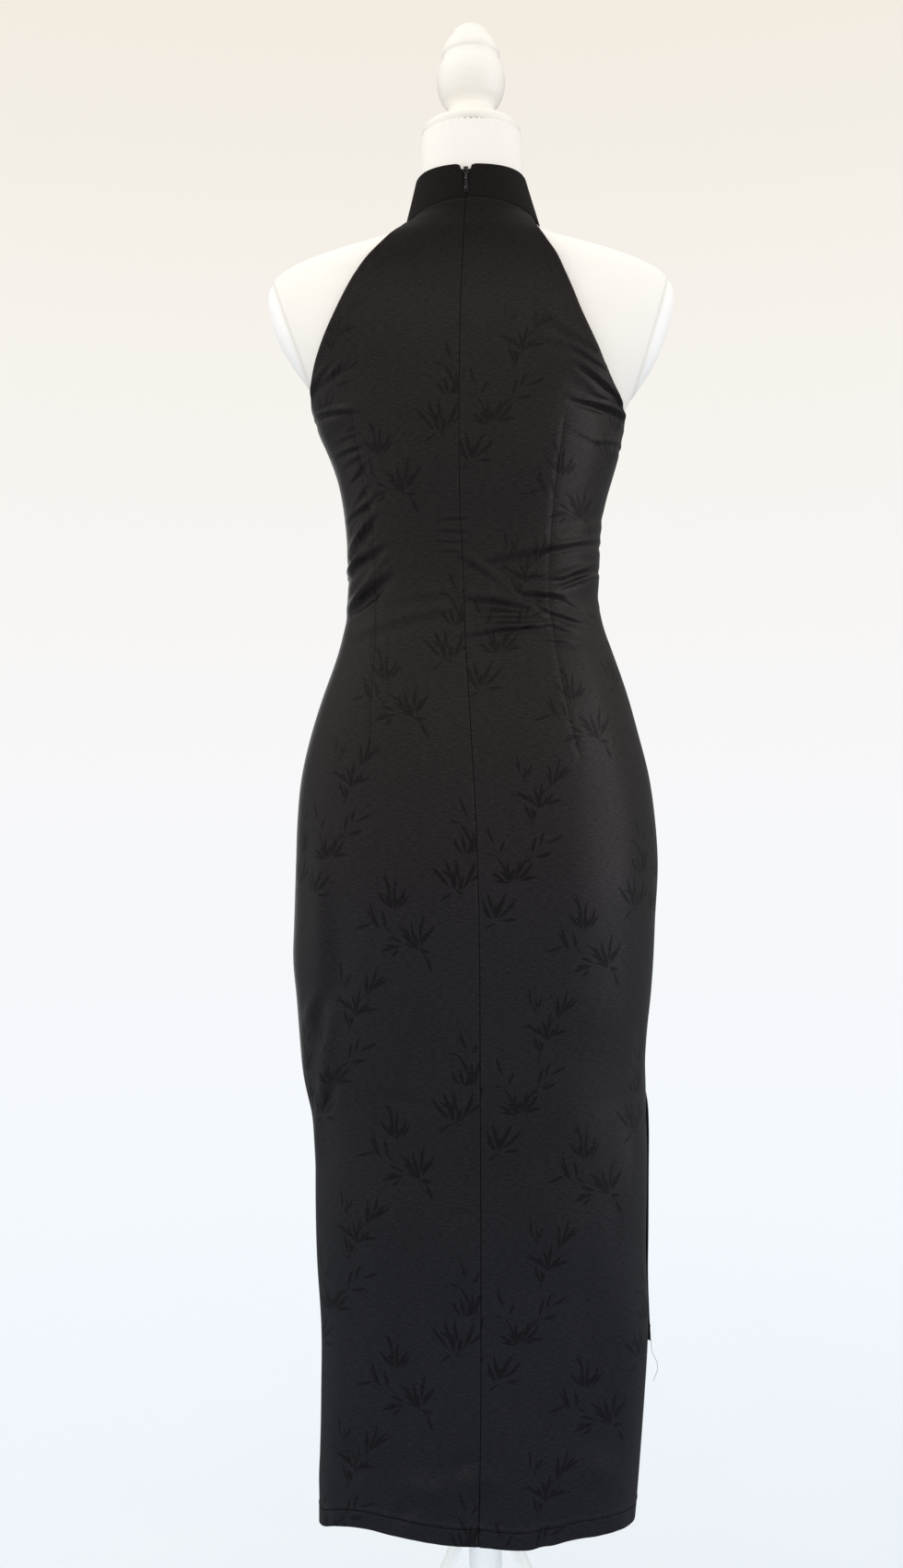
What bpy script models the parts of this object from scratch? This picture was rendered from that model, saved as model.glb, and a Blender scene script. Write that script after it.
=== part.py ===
"""A sleeveless halter cheongsam worn by a limbless dress form, in metres.

The dress faces -Y and its back faces +Y, with +Z up and the stand's feet on Z = 0. Every panel is
a wall of cloth whose outer face runs through the sections in the tables below. A section is half a
superellipse: x = half * sin(sweep) and y = edge + (crown - edge) * (1 - |sin(sweep)|^n)^(1/n),
where sweep is 0 on the centre line and 90 degrees at the side seam.
"""

import math

import bpy
import numpy as np

# Sizes of the cloth
CLOTH = 0.0012
COLLAR_WALL = 0.0016
SEAM_GAP = 0.0003
SECTION_POWER = 2.2
SLIT_TOP = 0.690
BACK_TOP = 1.5005
FRONT_TOP = 1.4915
BACK_HEM = 0.3035
FRONT_HEM = 0.3920
LEFT_UNDERARM = 1.330
RIGHT_UNDERARM = 1.312

# Sizes of the neckline and the collar
NECK_HALF = 0.0655
NECK_BACK_Z = 1.5080
NECK_SIDE_Z = 1.4991
NECK_FRONT_Z = 1.4521
COLLAR_TOP_HALF = 0.0526
COLLAR_TOP_SHIFT = 0.0010
COLLAR_TOP_BACK = 0.0548
COLLAR_TOP_FRONT = 0.0560
COLLAR_TOP_BACK_Z = 1.5430
COLLAR_TOP_SIDE_Z = 1.5455
COLLAR_TOP_FRONT_Z = 1.4960
NOTCH_HALF = 0.0055
NOTCH_FOOT = 0.46
NOTCH_ROUND = 0.0035

# Sizes of the zip
TAPE_TOP = 1.5385
TAPE_FOOT = 0.985
TAPE_THICK = 0.0009
TAPE_SLACK = 0.0002
TAPE_SHARES = (0.02, 0.17, 0.85)
COIL_RISE = 0.0011
PULL_PIVOT_Z = 1.5355
PULL_STAND_OFF = 0.0012

# The slider and its pull in millimetres from the pull's hinge
SLIDER_ACROSS = (-2.2, -0.6, 0.6, 2.2)
SLIDER_OUT = (-2.7, -1.0, -0.75, 0.75, 1.15)
SLIDER_UP = (-3.0, -1.6, -0.75, 0.75, 1.6, 4.3)
PULL_HALF_THICK = 0.4
PULL_EYE_Z = -22.0
PULL_EYE_RADIUS = 0.95

# Sizes of the form and its stand
FORM_Y = 0.0564
TORSO_FOOT = 0.790
POLE_RADIUS = 0.0157
POLE_FOOT = 0.205
HUB_RADIUS = 0.0250
HUB_TOP = 0.312
HUB_FOOT = 0.258
LEG_HALF_WIDTH = 0.0070


def table(names, rows):
    """A table's columns by name, from a row per section."""
    values = np.array(sorted(rows), float)
    return {name: values[:, i] for i, name in enumerate(names.split())}


# The cloth's outer face round the body, a row per height
BODY = table(
    "z left right back front",
    (
        (1.5080, 0.0640, 0.0640, 0.0640, 0.0570),
        (1.4991, 0.0655, 0.0655, 0.0650, 0.0570),
        (1.4950, 0.0760, 0.0735, 0.0655, 0.0572),
        (1.4900, 0.0860, 0.0820, 0.0665, 0.0580),
        (1.4835, 0.1080, 0.1010, 0.0685, 0.0592),
        (1.4760, 0.1390, 0.1330, 0.0700, 0.0608),
        (1.4670, 0.1690, 0.1630, 0.0718, 0.0632),
        (1.4568, 0.1890, 0.1840, 0.0740, 0.0660),
        (1.4428, 0.1975, 0.1930, 0.0772, 0.0705),
        (1.4200, 0.1965, 0.1930, 0.0828, 0.0795),
        (1.3950, 0.1885, 0.1855, 0.0875, 0.0900),
        (1.3700, 0.1755, 0.1765, 0.0908, 0.1020),
        (1.3450, 0.1610, 0.1620, 0.0920, 0.1130),
        (1.3300, 0.1545, 0.1530, 0.0922, 0.1180),
        (1.3120, 0.1490, 0.1430, 0.0915, 0.1210),
        (1.2900, 0.1400, 0.1385, 0.0905, 0.1200),
        (1.2670, 0.1315, 0.1318, 0.0890, 0.1150),
        (1.2400, 0.1260, 0.1238, 0.0855, 0.1065),
        (1.2120, 0.1230, 0.1185, 0.0812, 0.0985),
        (1.1800, 0.1212, 0.1168, 0.0778, 0.0920),
        (1.1550, 0.1214, 0.1160, 0.0772, 0.0895),
        (1.1260, 0.1249, 0.1197, 0.0800, 0.0905),
        (1.0950, 0.1330, 0.1303, 0.0862, 0.0950),
        (1.0600, 0.1460, 0.1420, 0.0950, 0.1005),
        (1.0200, 0.1588, 0.1527, 0.1050, 0.1050),
        (0.9800, 0.1680, 0.1624, 0.1120, 0.1080),
        (0.9400, 0.1722, 0.1675, 0.1165, 0.1095),
        (0.8950, 0.1740, 0.1700, 0.1180, 0.1100),
        (0.8450, 0.1760, 0.1668, 0.1170, 0.1105),
        (0.8100, 0.1772, 0.1650, 0.1150, 0.1115),
        (0.7750, 0.1740, 0.1622, 0.1135, 0.1130),
        (0.7400, 0.1719, 0.1576, 0.1120, 0.1145),
        (0.7050, 0.1688, 0.1553, 0.1110, 0.1160),
        (0.6900, 0.1662, 0.1560, 0.1105, 0.1168),
    ),
)

# The back below the slits, where its side edges hang free
BACK_TAIL = table(
    "z left right edge crown",
    (
        (0.6700, 0.1600, 0.1548, 0.0080, 0.1095),
        (0.6400, 0.1562, 0.1540, 0.0190, 0.1080),
        (0.5950, 0.1550, 0.1520, 0.0320, 0.1070),
        (0.5400, 0.1532, 0.1498, 0.0400, 0.1060),
        (0.4700, 0.1492, 0.1503, 0.0470, 0.1050),
        (0.4100, 0.1502, 0.1453, 0.0500, 0.1050),
        (0.3500, 0.1522, 0.1405, 0.0500, 0.1050),
        (0.3000, 0.1530, 0.1356, 0.0500, 0.1050),
    ),
)

# The front below the slits
FRONT_TAIL = table(
    "z left right edge crown",
    (
        (0.6700, 0.1600, 0.1606, 0.0080, 0.1172),
        (0.6400, 0.1585, 0.1640, 0.0250, 0.1185),
        (0.6000, 0.1585, 0.1668, 0.0460, 0.1208),
        (0.5200, 0.1600, 0.1704, 0.0800, 0.1262),
        (0.4600, 0.1612, 0.1728, 0.1010, 0.1310),
        (0.4100, 0.1618, 0.1762, 0.1180, 0.1365),
        (0.3850, 0.1620, 0.1782, 0.1250, 0.1395),
    ),
)

# Half the width between the armholes, a row per height of the panel's edge
BACK_ARMHOLE = table(
    "z left right",
    (
        (1.5005, 0.0600, 0.0555),
        (1.4950, 0.0645, 0.0562),
        (1.4826, 0.0737, 0.0598),
        (1.4686, 0.0852, 0.0668),
        (1.4567, 0.0960, 0.0740),
        (1.4376, 0.1095, 0.0822),
        (1.4198, 0.1195, 0.0892),
        (1.4032, 0.1280, 0.0955),
        (1.3875, 0.1360, 0.1026),
        (1.3721, 0.1433, 0.1100),
        (1.3577, 0.1493, 0.1166),
        (1.3451, 0.1530, 0.1230),
        (1.3300, 0.1545, 0.1320),
        (1.3120, 0.1490, 0.1430),
    ),
)
FRONT_ARMHOLE = table(
    "z left right",
    (
        (1.4915, 0.0600, 0.0600),
        (1.4750, 0.0650, 0.0650),
        (1.4550, 0.0700, 0.0700),
        (1.4300, 0.0775, 0.0765),
        (1.4050, 0.0880, 0.0860),
        (1.3800, 0.1040, 0.0980),
        (1.3600, 0.1230, 0.1100),
        (1.3450, 0.1420, 0.1210),
        (1.3300, 0.1545, 0.1310),
        (1.3120, 0.1490, 0.1430),
    ),
)

# How far the rows rise at the centre line, for the neckline's curve
NECK_LIFT = table(
    "z back front",
    (
        (1.5005, 0.0075, -0.0430),
        (1.4915, 0.0066, -0.0394),
        (1.4700, 0.0040, -0.0330),
        (1.4400, 0.0000, -0.0235),
        (1.4000, 0.0000, -0.0110),
        (1.3600, 0.0000, 0.0000),
    ),
)

# The centre back seam, which drifts across the back as it hangs
CENTRE_SEAM = table(
    "z x",
    (
        (1.5460, 0.0065),
        (1.5080, 0.0066),
        (1.4670, 0.0095),
        (1.4110, 0.0126),
        (1.3440, 0.0148),
        (1.2630, 0.0157),
        (1.2150, 0.0152),
        (1.1700, 0.0131),
        (1.1000, 0.0115),
        (1.0480, 0.0090),
        (0.9900, 0.0064),
        (0.9350, 0.0042),
        (0.8800, 0.0029),
        (0.6900, 0.0029),
        (0.5300, 0.0038),
        (0.4100, 0.0052),
        (0.3000, 0.0082),
    ),
)

# The largest folds of the back: a line in X and Z, its width, and how far it stands out
BACK_FOLDS = (
    (-0.116, 1.192, -0.058, 1.178, 0.011, 0.0022),
    (-0.112, 1.166, -0.044, 1.146, 0.011, 0.0024),
    (-0.092, 1.180, -0.020, 1.163, 0.010, -0.0016),
    (-0.062, 1.141, 0.004, 1.133, 0.010, -0.0020),
    (-0.116, 1.150, -0.066, 1.127, 0.010, -0.0016),
    (-0.040, 1.110, 0.006, 1.124, 0.011, 0.0022),
    (-0.104, 1.113, -0.002, 1.106, 0.010, -0.0016),
    (-0.096, 1.352, -0.134, 1.318, 0.011, 0.0020),
    (-0.088, 1.332, -0.136, 1.300, 0.010, -0.0016),
    (0.144, 1.308, 0.114, 1.316, 0.010, 0.0018),
    (0.118, 1.180, 0.092, 1.224, 0.010, 0.0020),
    (0.118, 1.148, 0.086, 1.192, 0.010, 0.0022),
    (0.118, 1.128, 0.084, 1.154, 0.010, -0.0016),
    (0.141, 0.890, 0.151, 0.770, 0.018, 0.0022),
    (0.120, 0.880, 0.132, 0.760, 0.016, -0.0018),
)
FRONT_FOLDS = (
    (0.118, 1.176, 0.060, 1.160, 0.012, 0.0022),
    (0.117, 1.150, 0.050, 1.140, 0.012, -0.0018),
    (-0.114, 1.180, -0.052, 1.168, 0.012, 0.0020),
    (-0.114, 1.146, -0.040, 1.132, 0.012, 0.0020),
    (-0.112, 1.126, -0.030, 1.118, 0.012, -0.0016),
    (0.134, 1.318, 0.104, 1.340, 0.012, -0.0016),
    (-0.134, 1.306, -0.104, 1.334, 0.012, -0.0016),
    (0.030, 1.100, -0.034, 1.094, 0.013, -0.0014),
)

# The two points where the cloth stands off the body at the bust
BUST = table("x z", ((-0.078, 1.302), (0.078, 1.302)))
BUST_RISE = 0.012
BUST_REACH = 0.042

# How far the form's skin lies inside the cloth's outer face
FORM_INSET = table(
    "z side deep",
    (
        (1.4900, 0.0030, 0.0062),
        (1.4428, 0.0035, 0.0066),
        (1.3950, 0.0040, 0.0072),
        (1.3450, 0.0080, 0.0086),
        (1.3120, 0.0080, 0.0084),
        (1.2670, 0.0066, 0.0076),
        (1.1550, 0.0066, 0.0080),
        (0.9400, 0.0066, 0.0080),
        (0.8700, 0.0100, 0.0130),
        (0.8200, 0.0220, 0.0230),
        (0.7900, 0.0360, 0.0360),
    ),
)
FORM_NECK = table(
    "z side back front",
    (
        (1.4955, 0.0685, 0.0588, 0.0520),
        (1.5010, 0.0588, 0.0570, 0.0500),
        (1.5080, 0.0550, 0.0555, 0.0490),
        (1.5180, 0.0522, 0.0530, 0.0486),
        (1.5320, 0.0498, 0.0502, 0.0486),
        (1.5500, 0.0486, 0.0492, 0.0488),
        (1.5880, 0.0486, 0.0490, 0.0488),
    ),
)
FORM_HEIGHTS = (
    (0.790, 0.804, 0.830, 0.870, 0.915, 0.960, 1.010, 1.055, 1.100, 1.140, 1.180, 1.220, 1.255)
    + (1.285, 1.310, 1.333, 1.355, 1.377, 1.398, 1.418, 1.434, 1.447, 1.458, 1.468, 1.477, 1.4865)
    + (1.4955, 1.501, 1.508, 1.518, 1.532, 1.560, 1.588)
)

# Outer sides of the turned pieces, from the top down
KNOB_PROFILE = (
    (0.0000, 1.6975),
    (0.0070, 1.6968),
    (0.0130, 1.6945),
    (0.0168, 1.6912),
    (0.0176, 1.6886),
    (0.0205, 1.6850),
    (0.0248, 1.6790),
    (0.0270, 1.6740),
    (0.0277, 1.6695),
    (0.0268, 1.6665),
    (0.0285, 1.6610),
    (0.0312, 1.6545),
    (0.0325, 1.6475),
    (0.0324, 1.6400),
    (0.0310, 1.6330),
    (0.0280, 1.6260),
    (0.0240, 1.6205),
    (0.0222, 1.6165),
    (0.0236, 1.6125),
    (0.0262, 1.6102),
    (0.0262, 1.5993),
    (0.0000, 1.5993),
)
PLATE_PROFILE = (
    (0.0000, 1.5990),
    (0.0420, 1.5990),
    (0.0462, 1.5975),
    (0.0474, 1.5938),
    (0.0462, 1.5900),
    (0.0420, 1.5883),
    (0.0000, 1.5883),
)
HUB_PROFILE = (
    (POLE_RADIUS + SEAM_GAP, HUB_TOP),
    (HUB_RADIUS - 0.0045, HUB_TOP - 0.0008),
    (HUB_RADIUS - 0.0018, HUB_TOP - 0.0060),
    (HUB_RADIUS, HUB_TOP - 0.0160),
    (HUB_RADIUS, HUB_FOOT + 0.0080),
    (HUB_RADIUS - 0.0018, HUB_FOOT + 0.0020),
    (HUB_RADIUS - 0.0045, HUB_FOOT),
    (POLE_RADIUS + SEAM_GAP, HUB_FOOT),
)

# A leg's middle line: how far out, how high, half its depth, and its section's tilt in degrees
LEG_LINE = table(
    "step out z half_deep tilt",
    (
        (0, 0.0253, 0.2780, 0.0085, 90.0),
        (1, 0.0290, 0.2700, 0.0075, 60.0),
        (2, 0.0355, 0.2500, 0.0058, 34.0),
        (3, 0.0503, 0.2267, 0.0060, 36.0),
        (4, 0.0780, 0.1960, 0.0066, 45.0),
        (5, 0.1110, 0.1660, 0.0074, 46.0),
        (6, 0.1430, 0.1330, 0.0078, 40.0),
        (7, 0.1690, 0.0960, 0.0076, 31.0),
        (8, 0.1880, 0.0600, 0.0072, 27.0),
        (9, 0.2030, 0.0280, 0.0072, 24.0),
        (10, 0.2160, 0.0080, 0.0086, 12.0),
        (11, 0.2210, 0.0000, 0.0100, 0.0),
    ),
)

# Linear colour, roughness and metallic of each material
MATERIALS = {
    "satin": ((0.0125, 0.0120, 0.0135), 0.38, 0.0),
    "zip_cloth": ((0.0100, 0.0100, 0.0110), 0.70, 0.0),
    "zip_metal": ((0.0300, 0.0300, 0.0320), 0.35, 0.6),
    "jersey": ((0.8100, 0.7900, 0.7500), 0.85, 0.0),
    "painted_wood": ((0.8400, 0.8250, 0.7900), 0.45, 0.0),
}


def curve(at, xs, ys):
    """A smooth line through a table's points: cubic pieces with three-point slopes."""
    step = np.diff(xs)
    rise = np.diff(ys) / step
    slope = np.empty(len(xs))
    slope[1:-1] = (rise[:-1] * step[1:] + rise[1:] * step[:-1]) / (step[:-1] + step[1:])
    slope[0] = rise[0]
    slope[-1] = rise[-1]
    at = np.clip(at, xs[0], xs[-1])
    i = np.clip(np.searchsorted(xs, at, side="right") - 1, 0, len(step) - 1)
    t = (at - xs[i]) / step[i]
    start = ys[i] * (1 + 2 * t) * (1 - t) ** 2 + ys[i + 1] * t * t * (3 - 2 * t)
    return start + step[i] * t * (1 - t) * (slope[i] * (1 - t) - slope[i + 1] * t)


def joined(tail, name):
    """A column over the whole height: the tail's rows below the body's."""
    heights = np.concatenate([tail["z"], BODY["z"]])
    if name == "edge":
        return heights, np.concatenate([tail["edge"], np.zeros(len(BODY["z"]))])
    if name == "crown":
        return heights, np.concatenate([tail["crown"], BODY["back" if tail is BACK_TAIL else "front"]])
    return heights, np.concatenate([tail[name], BODY[name]])


def fold_height(x, z, folds):
    """How far the cloth stands out at (x, z): a soft ridge or trough along each fold's line."""
    total = np.zeros(np.broadcast(x, z).shape)
    for x0, z0, x1, z1, width, height in folds:
        long2 = (x1 - x0) ** 2 + (z1 - z0) ** 2
        t = np.clip(((x - x0) * (x1 - x0) + (z - z0) * (z1 - z0)) / long2, 0.0, 1.0)
        away2 = (x - x0 - t * (x1 - x0)) ** 2 + (z - z0 - t * (z1 - z0)) ** 2
        total += height * np.exp(-away2 / width**2) * np.sin(math.pi * (0.12 + 0.76 * t))
    return total


def skin(side, sweep, z):
    """The outer face at a sweep and a height. side is 1 for the back and -1 for the front."""
    tail = BACK_TAIL if side > 0 else FRONT_TAIL
    left = curve(z, *joined(tail, "left"))
    right = curve(z, *joined(tail, "right"))
    crown = curve(z, *joined(tail, "crown"))
    edge = np.maximum(curve(z, *joined(tail, "edge")), 0.0)
    half = np.where(sweep >= 0, left, right)
    x = half * np.sin(sweep)
    bow = np.maximum(1 - np.abs(np.sin(sweep)) ** SECTION_POWER, 0.0) ** (1 / SECTION_POWER)
    deep = (crown - edge) * bow * np.sign(np.cos(sweep))
    if side < 0:
        for bust_x, bust_z in zip(BUST["x"], BUST["z"]):
            away2 = (x - bust_x) ** 2 + (z - bust_z) ** 2
            deep = deep + BUST_RISE * np.exp(-away2 / BUST_REACH**2) * bow
    y = side * (edge + deep + SEAM_GAP / 2)
    stand = fold_height(x, z, BACK_FOLDS if side > 0 else FRONT_FOLDS)
    out_x = x / half**2
    out_y = side * np.abs(deep) / np.maximum(crown - edge, 0.02) ** 2
    length = np.maximum(np.hypot(out_x, out_y), 1e-9)
    return np.stack([x + stand * out_x / length, y + stand * out_y / length, z + 0 * x], -1)


def neck_z(x, side):
    """The neckline's height at x, a parabola on each side of the neck."""
    middle = NECK_BACK_Z if side > 0 else NECK_FRONT_Z
    return middle + (NECK_SIDE_Z - middle) * (x / NECK_HALF) ** 2


def panel_points(side, across, rows, left_end, right_end):
    """A panel's outer points and its inward normals, from the left end to the right end."""
    arm = BACK_ARMHOLE if side > 0 else FRONT_ARMHOLE
    tail = BACK_TAIL if side > 0 else FRONT_TAIL
    u = np.linspace(0, 1, across + 1)
    u = np.concatenate([[u[0] - 1e-3], u, [u[-1] + 1e-3]])
    v = np.concatenate([[rows[0] + 1e-4], rows, [rows[-1] - 1e-4]])
    z, u = np.meshgrid(v, u, indexing="ij")
    ends = []
    for name, end, sign, underarm in (
        ("left", left_end, 1, LEFT_UNDERARM),
        ("right", right_end, -1, RIGHT_UNDERARM),
    ):
        half = curve(z, *joined(tail, name))
        if end == "seam":
            seam_x = curve(z, CENTRE_SEAM["z"], CENTRE_SEAM["x"]) + sign * -SEAM_GAP / 2
            ends.append(np.arcsin(seam_x / curve(z, *joined(tail, "left"))))
        else:
            ratio = np.clip(curve(z, arm["z"], arm[name]) / half, 0.0, 1.0)
            ends.append(sign * np.where(z > underarm, np.arcsin(ratio), math.pi / 2))
    sweep = ends[0] + (ends[1] - ends[0]) * u
    lift = curve(z, NECK_LIFT["z"], NECK_LIFT["back" if side > 0 else "front"])
    lift = np.where(z > NECK_LIFT["z"][0], lift, 0.0)
    outer_x = np.where(sweep >= 0, curve(z, arm["z"], arm["left"]), curve(z, arm["z"], arm["right"]))
    level = z + lift * np.maximum(1 - (skin(side, sweep, z)[..., 0] / outer_x) ** 2, 0.0)
    if side > 0:
        level = level + hem_wave(skin(side, sweep, z)[..., 0]) * np.clip((0.40 - z) / 0.09, 0, 1)
    moved = np.arcsin(np.clip(skin(side, sweep, z)[..., 0] / half_at(tail, sweep, level), -1, 1))
    sweep = np.where((lift != 0), moved, sweep)
    points = skin(side, sweep, level)
    along = points[1:-1, 2:] - points[1:-1, :-2]
    down = points[2:, 1:-1] - points[:-2, 1:-1]
    normal = np.cross(along, down)
    normal /= np.linalg.norm(normal, axis=-1, keepdims=True)
    outward = np.sum(normal * [0, side, 0], axis=-1).mean() > 0
    return points[1:-1, 1:-1], -normal if outward else normal


def half_at(tail, sweep, z):
    """Half the width on the side that the sweep is on."""
    return np.where(sweep >= 0, curve(z, *joined(tail, "left")), curve(z, *joined(tail, "right")))


def hem_wave(x):
    """The back hem's small rises and dips."""
    return 0.0026 * np.cos(x / 0.034) * np.exp(-((x / 0.11) ** 2)) - 0.0035 * (x / 0.15) ** 2


def wall(outer, inner):
    """A closed wall between two grids of points: its vertices and its faces."""
    rows, cols = outer.shape[:2]
    verts = np.concatenate([outer.reshape(-1, 3), inner.reshape(-1, 3)])
    index = np.arange(rows * cols).reshape(rows, cols)
    a, b, c, d = index[:-1, :-1], index[:-1, 1:], index[1:, 1:], index[1:, :-1]
    front = np.stack([a, b, c, d], -1).reshape(-1, 4)
    back = np.stack([d, c, b, a], -1).reshape(-1, 4) + rows * cols
    rim = np.concatenate([index[0, :-1], index[:-1, -1], index[-1, :0:-1], index[:0:-1, 0]])
    following = np.roll(rim, -1)
    sides = np.stack([following, rim, rim + rows * cols, following + rows * cols], -1)
    return verts, np.concatenate([front, back, sides]).tolist()


def loft(rings):
    """A closed solid through rings of points, capped with a fan at each end."""
    rings = np.asarray(rings)
    count, around = rings.shape[:2]
    verts = np.concatenate([rings.reshape(-1, 3), [rings[0].mean(0)], [rings[-1].mean(0)]])
    index = np.arange(count * around).reshape(count, around)
    following = np.roll(index, -1, axis=1)
    faces = np.stack([index[:-1], following[:-1], following[1:], index[1:]], -1).reshape(-1, 4).tolist()
    faces += [[count * around, following[0, i], index[0, i]] for i in range(around)]
    faces += [[count * around + 1, index[-1, i], following[-1, i]] for i in range(around)]
    return verts, faces


def blocks(xs, ys, zs, filled):
    """The skin of the filled cells of a small grid, as one closed solid."""
    cells = set(filled)
    verts, faces, seen = [], [], {}

    def corner(i, j, k):
        if (i, j, k) not in seen:
            seen[(i, j, k)] = len(verts)
            verts.append((xs[i], ys[j], zs[k]))
        return seen[(i, j, k)]

    sides = (
        ((-1, 0, 0), ((0, 0, 0), (0, 0, 1), (0, 1, 1), (0, 1, 0))),
        ((1, 0, 0), ((1, 0, 0), (1, 1, 0), (1, 1, 1), (1, 0, 1))),
        ((0, -1, 0), ((0, 0, 0), (1, 0, 0), (1, 0, 1), (0, 0, 1))),
        ((0, 1, 0), ((0, 1, 0), (0, 1, 1), (1, 1, 1), (1, 1, 0))),
        ((0, 0, -1), ((0, 0, 0), (0, 1, 0), (1, 1, 0), (1, 0, 0))),
        ((0, 0, 1), ((0, 0, 1), (1, 0, 1), (1, 1, 1), (0, 1, 1))),
    )
    for i, j, k in sorted(cells):
        for (di, dj, dk), corners in sides:
            if (i + di, j + dj, k + dk) not in cells:
                faces.append([corner(i + a, j + b, k + c) for a, b, c in corners])
    return np.array(verts, float), faces


def clear_scene():
    """Takes out everything that the new file starts with."""
    for thing in list(bpy.data.objects):
        bpy.data.objects.remove(thing, do_unlink=True)
    for block in (bpy.data.meshes, bpy.data.cameras, bpy.data.lights):
        for item in list(block):
            block.remove(item)


def material(name):
    """A plain material from the table."""
    colour, roughness, metallic = MATERIALS[name]
    made = bpy.data.materials.get(name)
    if made is None:
        made = bpy.data.materials.new(name)
        made.use_nodes = True
        shader = made.node_tree.nodes["Principled BSDF"]
        shader.inputs["Base Color"].default_value = (*colour, 1.0)
        shader.inputs["Roughness"].default_value = roughness
        shader.inputs["Metallic"].default_value = metallic
        made.diffuse_color = (*colour, 1.0)
    return made


def facing_out(verts, faces):
    """The faces, all turned over if the volume that they enclose comes out negative."""
    points = np.asarray(verts, float)
    volume = 0.0
    for face in faces:
        for i in range(1, len(face) - 1):
            volume += np.dot(points[face[0]], np.cross(points[face[i]], points[face[i + 1]]))
    return faces if volume > 0 else [face[::-1] for face in faces]


def add(name, verts, faces, stuff, smooth=True, at=(0.0, 0.0, 0.0)):
    """A named object of its own, parented to the whole."""
    faces = facing_out(verts, faces)
    mesh = bpy.data.meshes.new(name)
    mesh.from_pydata([tuple(map(float, p)) for p in verts], [], faces)
    mesh.validate()
    mesh.update()
    for face in mesh.polygons:
        face.use_smooth = smooth
    mesh.materials.append(material(stuff))
    made = bpy.data.objects.new(name, mesh)
    collection.objects.link(made)
    made.parent = whole
    made.location = at
    return made


def turned(name, profile, stuff, around, closed_ring=False):
    """A piece turned on the pole's axis: a profile swept by a Screw modifier."""
    verts = [(r, 0.0, z) for r, z in profile]
    edges = [(i, i + 1) for i in range(len(verts) - 1)]
    if closed_ring:
        edges.append((len(verts) - 1, 0))
    mesh = bpy.data.meshes.new(name)
    mesh.from_pydata(verts, edges, [])
    mesh.materials.append(material(stuff))
    made = bpy.data.objects.new(name, mesh)
    collection.objects.link(made)
    made.parent = whole
    screw = made.modifiers.new("turn", "SCREW")
    screw.axis = "Z"
    screw.angle = 2 * math.pi
    screw.steps = around
    screw.render_steps = around
    screw.use_merge_vertices = True
    screw.merge_threshold = 0.00005
    screw.use_smooth_shade = True
    screw.use_normal_calculate = True
    return made


def rows_between(*spans):
    """Heights from the top down: each span is (from, to, how many steps)."""
    parts = [np.linspace(a, b, n, endpoint=False) for a, b, n in spans]
    return np.concatenate(parts + [[spans[-1][1]]])


def build_panels():
    """The front and the two backs."""
    back_rows = rows_between(
        (BACK_TOP, 1.440, 7),
        (1.440, 1.345, 7),
        (1.345, LEFT_UNDERARM, 2),
        (LEFT_UNDERARM, RIGHT_UNDERARM, 2),
        (RIGHT_UNDERARM, 1.230, 6),
        (1.230, 1.090, 14),
        (1.090, SLIT_TOP, 9),
        (SLIT_TOP, BACK_HEM, 8),
    )
    backs = []
    for name, ends in (("back_left", ("side", "seam")), ("back_right", ("seam", "side"))):
        outer, inward = panel_points(1, 14, back_rows, *ends)
        add(name, *wall(outer, outer + inward * CLOTH), "satin")
        backs.append((outer, inward))
    front_rows = rows_between(
        (FRONT_TOP, 1.440, 5),
        (1.440, 1.345, 6),
        (1.345, LEFT_UNDERARM, 3),
        (LEFT_UNDERARM, RIGHT_UNDERARM, 2),
        (RIGHT_UNDERARM, 1.210, 5),
        (1.210, 1.090, 8),
        (1.090, SLIT_TOP, 8),
        (SLIT_TOP, FRONT_HEM, 6),
    )
    outer, inward = panel_points(-1, 22, front_rows, "side", "side")
    add("front", *wall(outer, outer + inward * CLOTH), "satin")
    return backs


def collar_points(turn, rise):
    """The collar's outer face: turn runs from 0 at the centre back round by the left side."""
    x = NECK_HALF * np.sin(turn)
    back = np.cos(turn) >= 0
    foot_z = np.where(back, neck_z(x, 1), neck_z(x, -1)) + SEAM_GAP
    foot = []
    for side in (1, -1):
        half = half_at(BACK_TAIL, x, foot_z - SEAM_GAP)
        foot.append(skin(side, np.arcsin(np.clip(x / half, -1, 1)), foot_z - SEAM_GAP)[..., 1])
    foot_y = np.where(back, foot[0], foot[1])
    across = np.sign(np.cos(turn)) * np.maximum(
        1 - np.abs(np.sin(turn)) ** SECTION_POWER, 0
    ) ** (1 / SECTION_POWER)
    top_x = COLLAR_TOP_HALF * np.sin(turn) + COLLAR_TOP_SHIFT
    top_y = across * np.where(back, COLLAR_TOP_BACK, COLLAR_TOP_FRONT)
    end_z = np.where(back, COLLAR_TOP_BACK_Z, COLLAR_TOP_FRONT_Z)
    top_z = COLLAR_TOP_SIDE_Z + (end_z - COLLAR_TOP_SIDE_Z) * np.cos(turn) ** 2
    foot = np.stack([x, foot_y, foot_z], -1)
    top = np.stack([top_x, top_y, top_z], -1)
    return foot + (top - foot) * rise[..., None]


def collar_ends(rise):
    """Half the opening at the centre back, which spreads to a V at the top."""
    spread = np.clip((rise - NOTCH_FOOT) / (1 - NOTCH_FOOT), 0, 1)
    return SEAM_GAP / 2 + NOTCH_HALF * spread


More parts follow.
